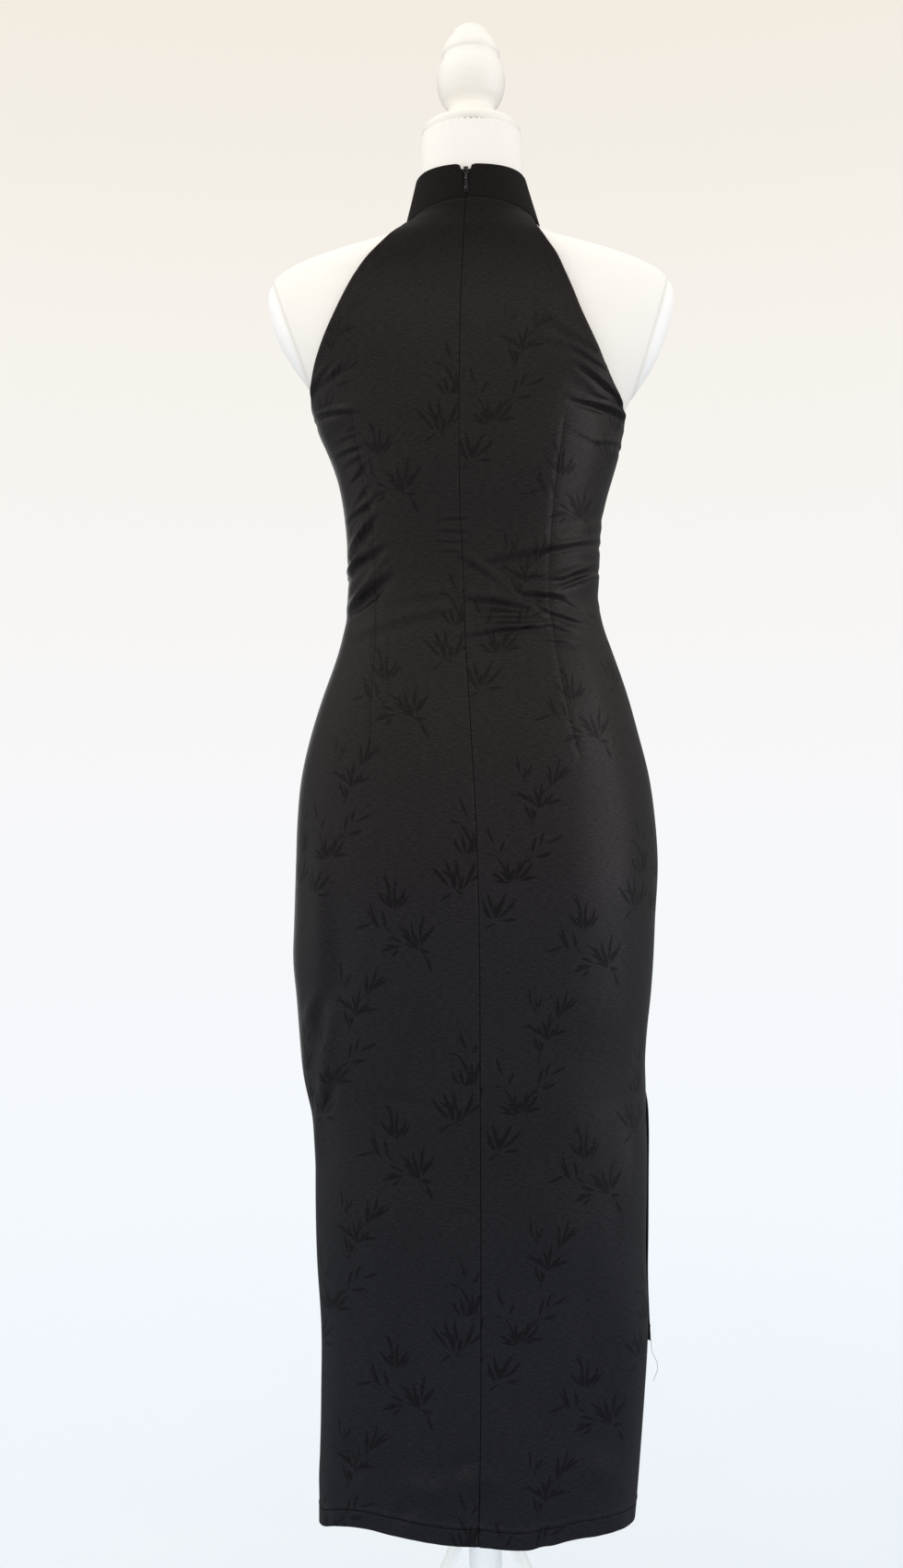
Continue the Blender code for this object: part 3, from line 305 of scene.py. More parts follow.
# The woven bamboo over one repeat of the cloth: each leaf's foot across and up, its tip across and
# up, and its width, all in millimetres
REPEAT_WIDE = 0.177
REPEAT_HIGH = 0.2035
LEAVES = (
    # two sprigs and a fan at the top of the stem
    (41, 189, 39, 207, 2.6), (46, 187, 45, 197, 2.4), (48, 187, 52, 199, 2.8), (47, 183, 44, 191, 2.0),
    (68, 181, 67, 200, 3.2), (71, 184, 78, 206, 3.0), (73, 183, 86, 197, 3.4), (74, 183, 90, 195, 3.0),
    (69, 179, 64, 191, 3.0), (70, 180, 74, 193, 3.8), (69, 178, 70, 190, 3.8), (52, 164, 68, 181, 1.3),
    # the fan below them, and the small wedge under it
    (56, 161, 51, 179, 3.4), (57, 162, 61, 185, 3.4), (55, 164, 36, 177, 3.4), (52, 169, 31, 173, 1.8),
    (59, 162, 70, 174, 3.4), (62, 163, 78, 167, 3.6), (55, 161, 48, 174, 3.0), (57, 160, 64, 171, 3.6),
    (56, 159, 55, 170, 4.4), (51, 148, 44, 166, 3.4), (51, 150, 54, 159, 3.0), (51, 149, 48, 161, 3.6),
    (51, 150, 47, 143, 1.5),
    # a thin sprig beside the seam
    (16, 129, 10, 147, 3.0), (19, 121, 25, 133, 3.0), (26, 101, 15, 121, 2.0), (15, 120, 7, 122, 1.7),
    # the middle fan and the sprig to the right of it
    (28, 96, 26, 116, 3.0), (30, 97, 38, 117, 3.6), (32, 97, 49, 114, 4.0), (34, 96, 52, 100, 3.8),
    (28, 97, 21, 111, 2.8), (23, 95, 10, 104, 3.6), (27, 95, 12, 98, 3.0), (29, 96, 33, 108, 4.2),
    (31, 97, 44, 119, 2.6), (27, 94, 18, 106, 4.0), (48, 119, 53, 137, 3.4), (56, 126, 61, 141, 3.2),
    (60, 129, 78, 137, 3.0), (50, 118, 67, 122, 3.8), (49, 120, 40, 111, 1.6),
    # the fan just right of the seam
    (12, 64, 24, 88, 4.2), (13, 65, 32, 83, 3.8), (16, 63, 31, 64, 3.2), (9, 64, 1, 83, 3.6),
    (11, 65, 6, 89, 3.8), (7, 63, 0, 72, 3.2), (11, 64, 13, 77, 4.4), (1, 54, 12, 61, 2.2),
    # the low left fan, its sprig and its stem
    (93, 56, 87, 85, 3.2), (89, 73, 84, 82, 2.4), (92, 54, 79, 69, 3.4), (96, 54, 98, 79, 3.2),
    (99, 54, 106, 72, 3.4), (100, 53, 110, 66, 3.0), (94, 52, 91, 68, 4.6), (97, 51, 96, 66, 4.6),
    (93, 53, 86, 64, 4.0), (95, 52, 103, 64, 3.6), (80, 38, 72, 59, 3.2), (79, 37, 68, 52, 2.8),
    (85, 37, 83, 52, 3.4), (75, 40, 55, 34, 3.2), (82, 35, 73, 46, 3.6), (86, 36, 85, 46, 3.4),
    (85, 38, 96, 30, 1.6),
    # the low right fan, the leaves at its side and its stem
    (121, 22, 125, 49, 3.8), (118, 19, 112, 42, 4.0), (116, 20, 97, 40, 3.4), (123, 21, 135, 40, 3.6),
    (118, 18, 106, 38, 3.4), (120, 17, 132, 15, 3.2), (115, 19, 101, 31, 3.4), (119, 16, 117, 31, 5.0),
    (122, 20, 130, 34, 4.0), (104, 22, 89, 28, 3.2), (104, 20, 81, 14, 4.0), (100, 18, 91, 11, 3.2),
    (102, 20, 86, 21, 3.4), (118, 18, 104, 22, 1.8), (126, 13, 133, -2, 3.6), (120, 17, 127, 11, 1.6),
    # the fan left of the seam
    (148, 70, 130, 91, 3.8), (151, 76, 138, 87, 2.8), (151, 74, 142, 97, 3.8), (156, 76, 152, 98, 3.6),
    (158, 69, 169, 96, 4.4), (163, 76, 176, 87, 3.4), (152, 69, 151, 86, 5.2), (156, 68, 159, 82, 4.4),
    (150, 67, 138, 58, 2.4), (151, 70, 159, 65, 1.8),
    # the fan above it, its twig and its sprig
    (158, 101, 150, 115, 3.4), (161, 100, 157, 117, 3.6), (167, 105, 154, 130, 3.2),
    (169, 102, 167, 122, 3.8), (171, 101, 176, 123, 3.8), (167, 100, 164, 115, 4.6),
    (161, 100, 165, 111, 5.0), (157, 128, 146, 130, 1.8), (164, 131, 157, 151, 3.0),
    (167, 129, 173, 139, 3.2),
)
# How far each panel's cloth is set over and up on the repeat
REPEAT_BACK_LEFT = (-0.0070, -0.8135)
REPEAT_BACK_RIGHT = (0.0, -0.7930)
REPEAT_FRONT = (0.062, -0.7350)

# The two points where the cloth stands off the body at the bust
BUST = table("x z", ((-780, 13020), (780, 13020)))
BUST_RISE = 0.012
BUST_REACH = 0.042

# Small ridges and dips: how high each is, how far off its line, and its reach
EDGE_ROLL = ((-0.00055, 0.0, 0.0011), (0.00016, 0.0042, 0.0026))
DART_ROLL = ((-0.00042, 0.0, 0.0022), (0.00016, 0.0050, 0.0030))
HEM_ROLL = ((0.00055, 0.0024, 0.0020), (-0.00035, 0.0, 0.0010))
COLLAR_FOOT_ROLL = ((-0.0005, 0.0, 0.0012),)
COLLAR_TOP_ROLL = ((-0.00045, 0.0, 0.0007),)
COLLAR_END_ROLL = ((-0.00045, 0.0, 0.0008),)
CAP_DIP = ((0.0009, 0.0, 0.0016), (-0.0010, 0.009, 0.009))

# The planes where the form's arm caps are sewn on, as shares of x, of z and of 1, and how far out
# the caps begin
CAP_LEFT = (0.944, -0.329, 0.298)
CAP_RIGHT = (-0.957, -0.290, 0.245)
CAP_FROM = 0.12

# How far the form's skin lies inside the cloth's outer face
FORM_INSET = table(
    "z side deep",
    (
        (14900, 30, 62), (14428, 35, 66), (13950, 40, 72), (13450, 80, 86), (13120, 80, 84), (12670, 66, 76),
        (11550, 66, 80), (9400, 66, 80), (8700, 100, 130), (8200, 220, 230), (7900, 360, 360),
    ),
)
FORM_NECK = table(
    "z side back front",
    (
        (14955, 685, 588, 520), (15010, 588, 570, 500), (15080, 550, 555, 490), (15180, 522, 530, 486),
        (15320, 498, 502, 486), (15500, 486, 492, 488), (15880, 486, 490, 488),
    ),
)
# Outer sides of the turned pieces, from the top down
KNOB_PROFILE = in_metres(
    (0, 1697.5), (7, 1696.8), (13, 1694.5), (16.8, 1691.2), (17.6, 1688.6), (20.5, 1685), (24.8, 1679),
    (27, 1674), (27.7, 1669.5), (26.8, 1666.5), (28.5, 1661), (31.2, 1654.5), (32.5, 1647.5), (32.4, 1640),
    (31, 1633), (28, 1626), (24, 1620.5), (22.2, 1616.5), (23.6, 1612.5), (26.2, 1610.2), (26.2, 1599.3),
    (0, 1599.3),
)
PLATE_PROFILE = in_metres(
    (0, 1599), (42, 1599), (46.2, 1597.5), (47.4, 1593.8), (46.2, 1590), (42, 1588.3), (0, 1588.3),
)
HUB_PROFILE = (
    (POLE_RADIUS + SEAM_GAP, HUB_TOP),
    (HUB_RADIUS - 0.0045, HUB_TOP - 0.0008),
    (HUB_RADIUS - 0.0018, HUB_TOP - 0.0060),
    (HUB_RADIUS, HUB_TOP - 0.0160),
    (HUB_RADIUS, HUB_FOOT + 0.0080),
    (HUB_RADIUS - 0.0018, HUB_FOOT + 0.0020),
    (HUB_RADIUS - 0.0045, HUB_FOOT),
    (POLE_RADIUS + SEAM_GAP, HUB_FOOT),
)

POLE_PROFILE = (
    (0.0000, TORSO_FOOT - SEAM_GAP),
    (POLE_RADIUS, TORSO_FOOT - SEAM_GAP),
    (POLE_RADIUS, POLE_FOOT + 0.006),
    (POLE_RADIUS - 0.005, POLE_FOOT + 0.001),
    (0.0000, POLE_FOOT),
)

# A leg's middle line, a row per step: how far out, how high, half its depth, and its section's tilt
# in degrees
LEG_LINE = table(
    "step out z half_deep tilt",
    (
        (0, 253, 2780, 85, 90), (1, 290, 2700, 75, 60), (2, 355, 2500, 58, 34), (3, 503, 2267, 60, 36),
        (4, 780, 1960, 66, 45), (5, 1110, 1660, 74, 46), (6, 1430, 1330, 78, 40), (7, 1690, 960, 76, 31),
        (8, 1880, 600, 72, 27), (9, 2030, 280, 72, 24), (10, 2160, 80, 86, 12), (11, 2210, 0, 100, 0),
    ),
)


def curve(at, xs, ys):
    """A smooth line through a table's points: cubic pieces with three-point slopes."""
    step = np.diff(xs)
    rise = np.diff(ys) / step
    slope = np.empty(len(xs))
    slope[1:-1] = (rise[:-1] * step[1:] + rise[1:] * step[:-1]) / (step[:-1] + step[1:])
    slope[0] = rise[0]
    slope[-1] = rise[-1]
    at = np.clip(at, xs[0], xs[-1])
    i = np.clip(np.searchsorted(xs, at, side="right") - 1, 0, len(step) - 1)
    t = (at - xs[i]) / step[i]
    start = ys[i] * (1 + 2 * t) * (1 - t) ** 2 + ys[i + 1] * t * t * (3 - 2 * t)
    return start + step[i] * t * (1 - t) * (slope[i] * (1 - t) - slope[i + 1] * t)


def read(rows, name, at, by="z"):
    """A table's column at some places along another column."""
    return curve(at, rows[by], rows[name])


def soft_step(t):
    """0 below 0, 1 above 1, and 3t^2 - 2t^3 between."""
    t = np.clip(t, 0.0, 1.0)
    return t * t * (3 - 2 * t)


def eased(heights, values, reach):
    """A table's line taken every half millimetre, its bends eased by a bell of that reach below the
    shoulders. Past its ends the line runs on straight."""
    step = 0.0005
    fine = np.arange(heights[0] - 0.03, heights[-1] + 0.03, step)
    line = curve(fine, heights, values)
    for end, side in ((0, fine < heights[0]), (-1, fine > heights[-1])):
        near = (0, 1) if end == 0 else (-2, -1)
        slope = (values[near[1]] - values[near[0]]) / (heights[near[1]] - heights[near[0]])
        line[side] = values[end] + slope * (fine[side] - heights[end])
    share = np.exp(-0.5 * (np.arange(-0.03, 0.03, step) / reach) ** 2)
    blurred = np.convolve(line, share / share.sum(), mode="same")
    inner = (fine > heights[0] - 0.012) & (fine < heights[-1] + 0.012)
    kept = soft_step((fine - 1.425) / 0.03)
    line = np.where(inner, blurred + (line - blurred) * kept, line)
    return fine, line


def joined(tail, name):
    """A column over the whole height: the tail's rows below the body's."""
    heights = np.concatenate([tail["z"], BODY["z"]])
    if name == "edge":
        return heights, np.concatenate([tail["edge"], np.zeros(len(BODY["z"]))])
    if name == "crown":
        return heights, np.concatenate([tail["crown"], BODY["back" if tail is BACK_TAIL else "front"]])
    return heights, np.concatenate([tail[name], BODY[name]])


LINES = {
    (side, name): eased(*joined(tail, name), 0.004 if name == "edge" else 0.007)
    for side, tail in ((1, BACK_TAIL), (-1, FRONT_TAIL))
    for name in ("left", "right", "crown", "edge")
}


def column(side, name, z):
    """A column of the eased sections at a height."""
    return np.interp(z, *LINES[(side, name)])


def half_at(side, sweep, z):
    """Half the width on the side that the sweep is on."""
    return np.where(sweep >= 0, column(side, "left", z), column(side, "right", z))


def bow_of(sweep):
    """How far a section stands towards its crown at a sweep, from 0 at the side to 1."""
    return np.maximum(1 - np.abs(np.sin(sweep)) ** SECTION_POWER, 0.0) ** (1 / SECTION_POWER)


def unit_of(vectors):
    """The vectors, each made 1 long."""
    return vectors / np.linalg.norm(vectors, axis=-1, keepdims=True)


def full_turn(count):
    """Angles once round, the first at 0."""
    return np.linspace(0, 2 * math.pi, count, endpoint=False)


def along_run(at, run, points):
    """The points at some distances along a line of points, given how far along each of them is."""
    return np.stack([np.interp(at, run, points[:, i]) for i in range(3)], -1)


def bell(away, reach):
    """exp(-(away / reach)^2): 1 at no distance, and 0.37 at the reach."""
    return np.exp(-((away / reach) ** 2))


def bells(away, rows):
    """The sum of a list's small ridges and dips at a distance from their line."""
    return sum(height * bell(away - at, reach) for height, at, reach in rows)


def bust_rise(x, z):
    """How far the cloth stands off at (x, z) for the bust: a bell round each of its two points."""
    return sum(BUST_RISE * bell(np.hypot(x - at, z - up), BUST_REACH) for at, up in zip(BUST["x"], BUST["z"]))


def fold_height(x, z, folds):
    """How far the cloth stands out at (x, z): a soft ridge or trough along each fold's line."""
    total = np.zeros(np.broadcast(x, z).shape)
    for x0, z0, x1, z1, width, height in folds:
        long2 = (x1 - x0) ** 2 + (z1 - z0) ** 2
        t = np.clip(((x - x0) * (x1 - x0) + (z - z0) * (z1 - z0)) / long2, 0.0, 1.0)
        away2 = (x - x0 - t * (x1 - x0)) ** 2 + (z - z0 - t * (z1 - z0)) ** 2
        total += height * np.exp(-away2 / width**2) * np.sin(math.pi * (0.12 + 0.76 * t))
    return total


def bare_skin(side, sweep, z):
    """The outer face without its creases, and its outward direction in X and Y."""
    half = half_at(side, sweep, z)
    edge = np.maximum(column(side, "edge", z), 0.0)
    crown = column(side, "crown", z)
    x = half * np.sin(sweep)
    bow = bow_of(sweep)
    deep = (crown - edge) * bow * np.sign(np.cos(sweep))
    if side < 0:
        deep = deep + bust_rise(x, z) * bow
    y = side * (edge + deep + SEAM_GAP / 2)
    out_x = x / half**2
    out_y = side * np.abs(deep) / np.maximum(crown - edge, 0.02) ** 2
    length = np.maximum(np.hypot(out_x, out_y), 1e-9)
    return x, y, out_x / length, out_y / length


def seen(px, py):
    """Where the back's outer face is at a pixel of the photograph: its X and Z."""
    depth = 0.09
    for _ in range(4):
        reach = (CAMERA_AWAY - depth) / FOCAL
        across = (px - PHOTO_WIDE / 2) * reach
        up = (PHOTO_HIGH / 2 - py) * reach
        x = CAMERA_X - across - CAMERA_ROLL * up
        z = CAMERA_Z + up - CAMERA_ROLL * across
        half = np.where(x >= 0, column(1, "left", z), column(1, "right", z))
        sweep = np.arcsin(np.clip(x / half, -0.999, 0.999))
        depth = float(bare_skin(1, sweep, z)[1])
    return float(x), float(z)


def seen_lines(rows):
    """Rows given in the photograph's pixels as lines in X and Z, in metres."""
    return tuple(
        (*seen(x0, y0), *seen(x1, y1), width * 0.001, rise * 0.001) for x0, y0, x1, y1, width, rise in rows
    )


def crease_height(x, z, creases):
    """How far sharp creases stand out at (x, z): each is a step, rise * s * exp(0.5 - s^2) * sqrt(2)
    over its line, s being the way above the line in widths. It dies away past the line's ends."""
    total = np.zeros(np.broadcast(x, z).shape)
    for x0, z0, x1, z1, width, rise in creases:
        long = math.hypot(x1 - x0, z1 - z0)
        along = ((x - x0) * (x1 - x0) + (z - z0) * (z1 - z0)) / long
        above = ((z - z0) * (x1 - x0) - (x - x0) * (z1 - z0)) / long * math.copysign(1.0, x1 - x0)
        near = (np.abs(above) < 4 * width) & (along > -5 * width) & (along < long + 5 * width)
        s, t = above[near] / width, along[near]
        beyond = np.maximum(np.maximum(-t, t - long), 0.0)
        fading = bell(beyond, 1.6 * width) * np.sin(math.pi * np.clip(0.2 + 0.6 * t / long, 0.2, 0.8))
        total[near] += CREASE_DEPTH * rise * s * np.exp(0.5 - s * s) * fading
    return total


def drift(x, z, side):
    """The cloth's slow waver, a few tenths of a millimetre: three long waves across each other."""
    turn = 2.1 if side > 0 else 0.4
    waves = np.sin(x / 0.0105 + 1.9 * np.sin(z / 0.071 + turn)) * 0.00016
    waves = waves + np.sin(z / 0.0172 - x / 0.021 + turn) * 0.00012
    waves = waves + np.sin(x / 0.026 + 2.4 * np.sin(z / 0.150 + 2 * turn)) * 0.00034
    return waves * (0.35 + 0.65 * soft_step((1.0 - z) / 0.25))


def skin(side, sweep, z):
    """The outer face at a sweep and a height. side is 1 for the back and -1 for the front."""
    x, y, out_x, out_y = bare_skin(side, sweep, z)
    stand = fold_height(x, z, FOLDS[side]) + crease_height(x, z, CREASES[side]) + drift(x, z, side)
    return np.stack([x + stand * out_x, y + stand * out_y, z + 0 * x], -1)


def neck_z(x, side):
    """The neckline's height at x, a parabola on each side of the neck."""
    middle = NECK_BACK_Z if side > 0 else NECK_FRONT_Z
    return middle + (NECK_SIDE_Z - middle) * (x / NECK_HALF) ** 2


def panel_points(side, shares, rows, left_end, right_end):
    """A panel's outer points and inward normals. Each row of sweeps runs from the left end to the
    right end by its shares, and rises or dips towards the neck and the hem."""
    arm = BACK_ARMHOLE if side > 0 else FRONT_ARMHOLE
    u = np.concatenate([[-1e-3], shares, [1 + 1e-3]])
    v = np.concatenate([[rows[0] + 1e-4], rows, [rows[-1] - 1e-4]])
    z, u = np.meshgrid(v, u, indexing="ij")
    ends = []
    for name, end, sign, underarm in (
        ("left", left_end, 1, LEFT_UNDERARM),
        ("right", right_end, -1, RIGHT_UNDERARM),
    ):
        if end == "seam":
            seam_x = read(CENTRE_SEAM, "x", z) + sign * SEAM_LAP / 2
            ends.append(np.arcsin(seam_x / column(side, "left", z)))
        else:
            ratio = np.clip(read(arm, name, z) / column(side, name, z), 0.0, 1.0)
            ends.append(sign * np.where(z > underarm, np.arcsin(ratio), math.pi / 2))
    sweep = ends[0] + (ends[1] - ends[0]) * u
    lift = read(NECK_LIFT, "back" if side > 0 else "front", z)
    lift = np.where(z > NECK_LIFT["z"][0], lift, 0.0)
    outer_x = np.where(sweep >= 0, read(arm, "left", z), read(arm, "right", z))
    flat_x = half_at(side, sweep, z) * np.sin(sweep)
    level = z + lift * np.maximum(1 - (flat_x / outer_x) ** 2, 0.0)
    if side > 0:
        hang = read(BACK_HEM_LINE, "lift", flat_x, "x")
        level = level + hang * soft_step((HANG_FROM - z) / 0.11)
    moved = np.arcsin(np.clip(flat_x / half_at(side, sweep, level), -1, 1))
    sweep = np.where(lift != 0, moved, sweep)
    points = skin(side, sweep, level)
    along = points[1:-1, 2:] - points[1:-1, :-2]
    down = points[2:, 1:-1] - points[:-2, 1:-1]
    normal = unit_of(np.cross(along, down))
    outward = np.sum(normal * [0, side, 0], axis=-1).mean() > 0
    return points[1:-1, 1:-1], -normal if outward else normal


def run_of(points, axis):
    """How far along the cloth each point is from the first, added up step by step."""
    steps = np.linalg.norm(np.diff(points, axis=axis), axis=-1)
    start = np.zeros_like(np.take(steps, [0], axis))
    return np.concatenate([start, np.cumsum(steps, axis)], axis)


def wall_faces(rows, cols):
    """Four-sided faces of a closed wall between two grids of points."""
    index = np.arange(rows * cols).reshape(rows, cols)
    a, b, c, d = index[:-1, :-1], index[:-1, 1:], index[1:, 1:], index[1:, :-1]
    front = np.stack([a, b, c, d], -1).reshape(-1, 4)
    back = np.stack([d, c, b, a], -1).reshape(-1, 4) + rows * cols
    rim = np.concatenate([index[0, :-1], index[:-1, -1], index[-1, :0:-1], index[:0:-1, 0]])
    following = np.roll(rim, -1)
    sides = np.stack([following, rim, rim + rows * cols, following + rows * cols], -1)
    return np.concatenate([front, back, sides])


def wall(name, outer, inner, *finish_and_slot, uv=None, **more):
    """A piece that is a closed wall between an outer and an inner grid of points."""
    points = np.concatenate([outer.reshape(-1, 3), inner.reshape(-1, 3)])
    flat_uv = None if uv is None else np.concatenate([uv, uv])
    return piece(name, points, wall_faces(*outer.shape[:2]), *finish_and_slot, flat_uv=flat_uv, **more)


def facing_out(points, faces):
    """The faces, all turned over if the volume that they enclose comes out negative."""
    a, b, c, d = (points[faces[:, i]] for i in range(4))
    volume = np.sum(a * np.cross(b, c)) + np.sum(a * np.cross(c, d))
    return faces if volume > 0 else faces[:, ::-1]


def put_in(name, data):
    """An object with that name and data, in the scene."""
    made = bpy.data.objects.new(name, data)
    bpy.context.scene.collection.objects.link(made)
    return made


def piece(name, points, faces, finish, slot, body=DRESS, replaced=(), flat_uv=None, marks=()):
    """A piece of the dress or the form from points round the pole and four-sided faces. flat_uv is
    each point's place on the flat cloth, and marks are named values of each point."""
    faces = facing_out(points, faces)
    mesh = bpy.data.meshes.new(name)
    mesh.from_pydata((points + [0, FORM_Y, 0]).tolist(), [], faces.tolist())
    mesh.polygons.foreach_set("use_smooth", np.ones(len(faces), bool))
    if flat_uv is not None:
        corners = np.empty(len(mesh.loops), int)
        mesh.loops.foreach_get("vertex_index", corners)
        mesh.uv_layers.new(name="flat_cloth").data.foreach_set("uv", flat_uv[corners].ravel())
    for mark, values in marks:
        held = mesh.attributes.new(mark, "FLOAT", "POINT")
        held.data.foreach_set("value", values.astype(np.float32))
    mesh.materials.append(finish)
    mesh.validate()
    made = put_in(name, mesh)
    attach(made, body)
    if replaced:
        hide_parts(*replaced)
    return made


def rows_between(*spans):
    """Heights from the top down: each span is (from, to, how long a step)."""
    parts = [np.linspace(a, b, round((a - b) / step), endpoint=False) for a, b, step in spans]
    return np.concatenate(parts + [[spans[-1][1]]])


def shares_across(count):
    """Shares from 0 to 1 for a panel's columns, closer together by its two edges."""
    near = np.array([0.0, 0.0022, 0.0050, 0.0090, 0.0150, 0.0230])
    return np.concatenate([near, np.linspace(0.034, 0.966, count), 1 - near[::-1]])


def dart_marks(x, z, darts):
    """How far a point is from the nearest dart's line across, and how open the dart is there."""
    off = np.full(x.shape, 1.0)
    held = np.zeros(x.shape)
    for dart in darts:
        line = np.array(sorted((height, at) for at, height in dart))
        here = x - np.interp(z, line[:, 0], line[:, 1])
        shown = soft_step((z - line[0, 0]) / 0.012) * soft_step((line[-1, 0] - z) / 0.012)
        nearer = np.abs(here) < np.abs(off)
        off = np.where(nearer, here, off)
        held = np.where(nearer, shown, held)
    return off, held


def satin_panel(name, side, columns, rows, ends, repeat, darts, replaced):
    """One panel: its points, with rolled seams, darts drawn in and a stitched hem, made into a wall.

    Along each edge the cloth rolls in by a bell of the distance to the edge. Beside the centre seam
    it puckers in short waves. The hem's turning stands out a little below its line of stitches."""
    outer, inward = panel_points(side, shares_across(columns), rows, *ends)
    x, z = outer[..., 0], outer[..., 2]
    run = run_of(outer, 1)
    to_left, to_right = run, run[:, -1:] - run
    drop = run_of(outer, 0)
    to_hem = drop[-1:] - drop
    rise = bells(to_left, EDGE_ROLL) + bells(to_right, EDGE_ROLL)
    seam = to_right if ends[1] == "seam" else to_left if ends[0] == "seam" else None
    if seam is not None:
        zipped = soft_step((z - PUCKER_FROM) / 0.03)
        pucker = np.sin(z / 0.00165 + 2.2 * np.sin(z / 0.023)) * bell(seam, 0.007)
        rise += pucker * (0.00004 + 0.00011 * zipped * (0.55 + 0.45 * np.sin(z / 0.05)))
    off, held = dart_marks(x, z, darts)
    rise += held * bells(off, DART_ROLL)
    turned_up = soft_step((HEM_DEEP + 0.0012 - to_hem) / 0.0012)
    rise += turned_up * (0.00022 + 0.00010 * np.sin(run / 0.0031 + 2 * np.sin(run / 0.019)))
    above_hem = to_hem - HEM_DEEP
    rise += bells(above_hem, HEM_ROLL)
    # painted shade: darts, the centre seam and the hem's stitch line each carry a strength of shade painted
    # along them, kept with the distance to the nearest one
    held = DART_SHADE * held
    for away, how_shaded in ((above_hem, HEM_SHADE), (seam, SEAM_SHADE)):
        if away is not None:
            nearer = np.abs(away) < np.abs(off)
            off, held = np.where(nearer, away, off), np.where(nearer, how_shaded, held)
    outer = outer - inward * rise[..., None]
    free = np.minimum(to_left, to_right) < TURNING
    loose = (z < SLIT_TOP) | (z > LEFT_UNDERARM)
    thick = np.where(turned_up > 0.5, TURNED, SATIN)
    thick = np.where(free & loose, TURNED, thick)
    inner = outer + inward * thick[..., None]
    if side > 0:
        across = to_left if ends[0] == "seam" else -to_right
    else:
        across = np.take_along_axis(run, np.abs(x).argmin(1)[:, None], 1) - run
    taken_in = 0.0 if seam is None else TAKEN_IN * soft_step((TAKEN_IN_FROM - z) / 0.12)
    taken_in = taken_in * (1 - soft_step((np.abs(across) - 0.030) / 0.060)) * np.sign(across)
    flat = np.stack([across - taken_in + repeat[0], z + repeat[1]], -1).reshape(-1, 2)
    on_walls = (("dart_off", off, off), ("sewn_line_shade", held, held), ("wrong_side", 0 * x, 0 * x + 1))
    marks = [(mark, np.concatenate([out.ravel(), within.ravel()])) for mark, out, within in on_walls]
    made = wall(name, outer, inner, SATIN_FIGURED, "satin", uv=flat, replaced=replaced, marks=marks)
    hem_row = np.abs(to_hem - HEM_DEEP).argmin(0)
    stitch_at = np.take_along_axis(outer, hem_row[None, :, None], 0)[0]
    stitch_out = -np.take_along_axis(inward, hem_row[None, :, None], 0)[0]
    return made, outer, (stitch_at, stitch_out)


def satin_collar():
    """The stand collar: one stiff band of two layers, from a foot on the neckline to a top ring.

    turn runs from 0 at the centre back round by the left side, and rise from 0 at the foot to 1. The
    face leans in straight lines from foot to top, bellied out a little between, and rolls in at its
    foot and its top."""
    around, up = 250, 26
    rise = np.linspace(0, 1, up + 1)[:, None] * np.ones(around + 1)
    rise = 0.5 - 0.5 * np.cos(math.pi * rise) * (1 - 0.25 * np.sin(math.pi * rise) ** 2)
    share = np.linspace(0, 1, around + 1)[None, :]
    ease = share - 0.35 * np.sin(2 * math.pi * share) / (2 * math.pi)
    seam_x = read(CENTRE_SEAM, "x", NECK_BACK_Z)
    reach = NECK_HALF + (COLLAR_TOP_HALF - NECK_HALF) * rise
    middle = seam_x - COLLAR_TOP_SHIFT * rise
    open_half = SEAM_GAP / 2 + NOTCH_HALF * np.clip((rise - NOTCH_FOOT) / (1 - NOTCH_FOOT), 0, 1)
    start = np.arcsin((middle + open_half) / reach)
    stop = 2 * math.pi + np.arcsin((middle - open_half) / reach)
    turn = start + (stop - start) * ease
    outer = collar_points(turn, rise)
    near_end = np.minimum(turn - start, stop - turn) * NECK_HALF
    outer[..., 2] -= NOTCH_ROUND * bell(near_end, 0.0028) * rise**4
    along = np.gradient(outer, axis=1)
    flat = unit_of(np.stack([along[..., 1], -along[..., 0], 0 * along[..., 0]], -1))
    outward = 1 if np.sum(flat[..., :2] * outer[..., :2], axis=-1).mean() > 0 else -1
    tall = run_of(outer, 0)
    from_top = tall[-1:] - tall
    stand = bells(tall, COLLAR_FOOT_ROLL) + bells(from_top, COLLAR_TOP_ROLL)
    stand += bells(near_end, COLLAR_END_ROLL)
    stand += 0.00022 * np.sin(math.pi * rise) * np.sin(turn * 7.3 + 1.5 * np.sin(turn * 2.0))
    face = outer + flat * outward * stand[..., None]
    deep = COLLAR_WALL - 0.0005 * bell(from_top, 0.0008)
    inner = outer - flat * outward * deep[..., None]
    uv = np.stack([turn * NECK_HALF, tall], -1).reshape(-1, 2)
    made = wall("collar_satin", face, inner, SATIN_PLAIN, "satin", uv=uv, replaced=("collar",))
    return made, run_of(outer, 1)[:, -1].mean(), tall[-1].mean()


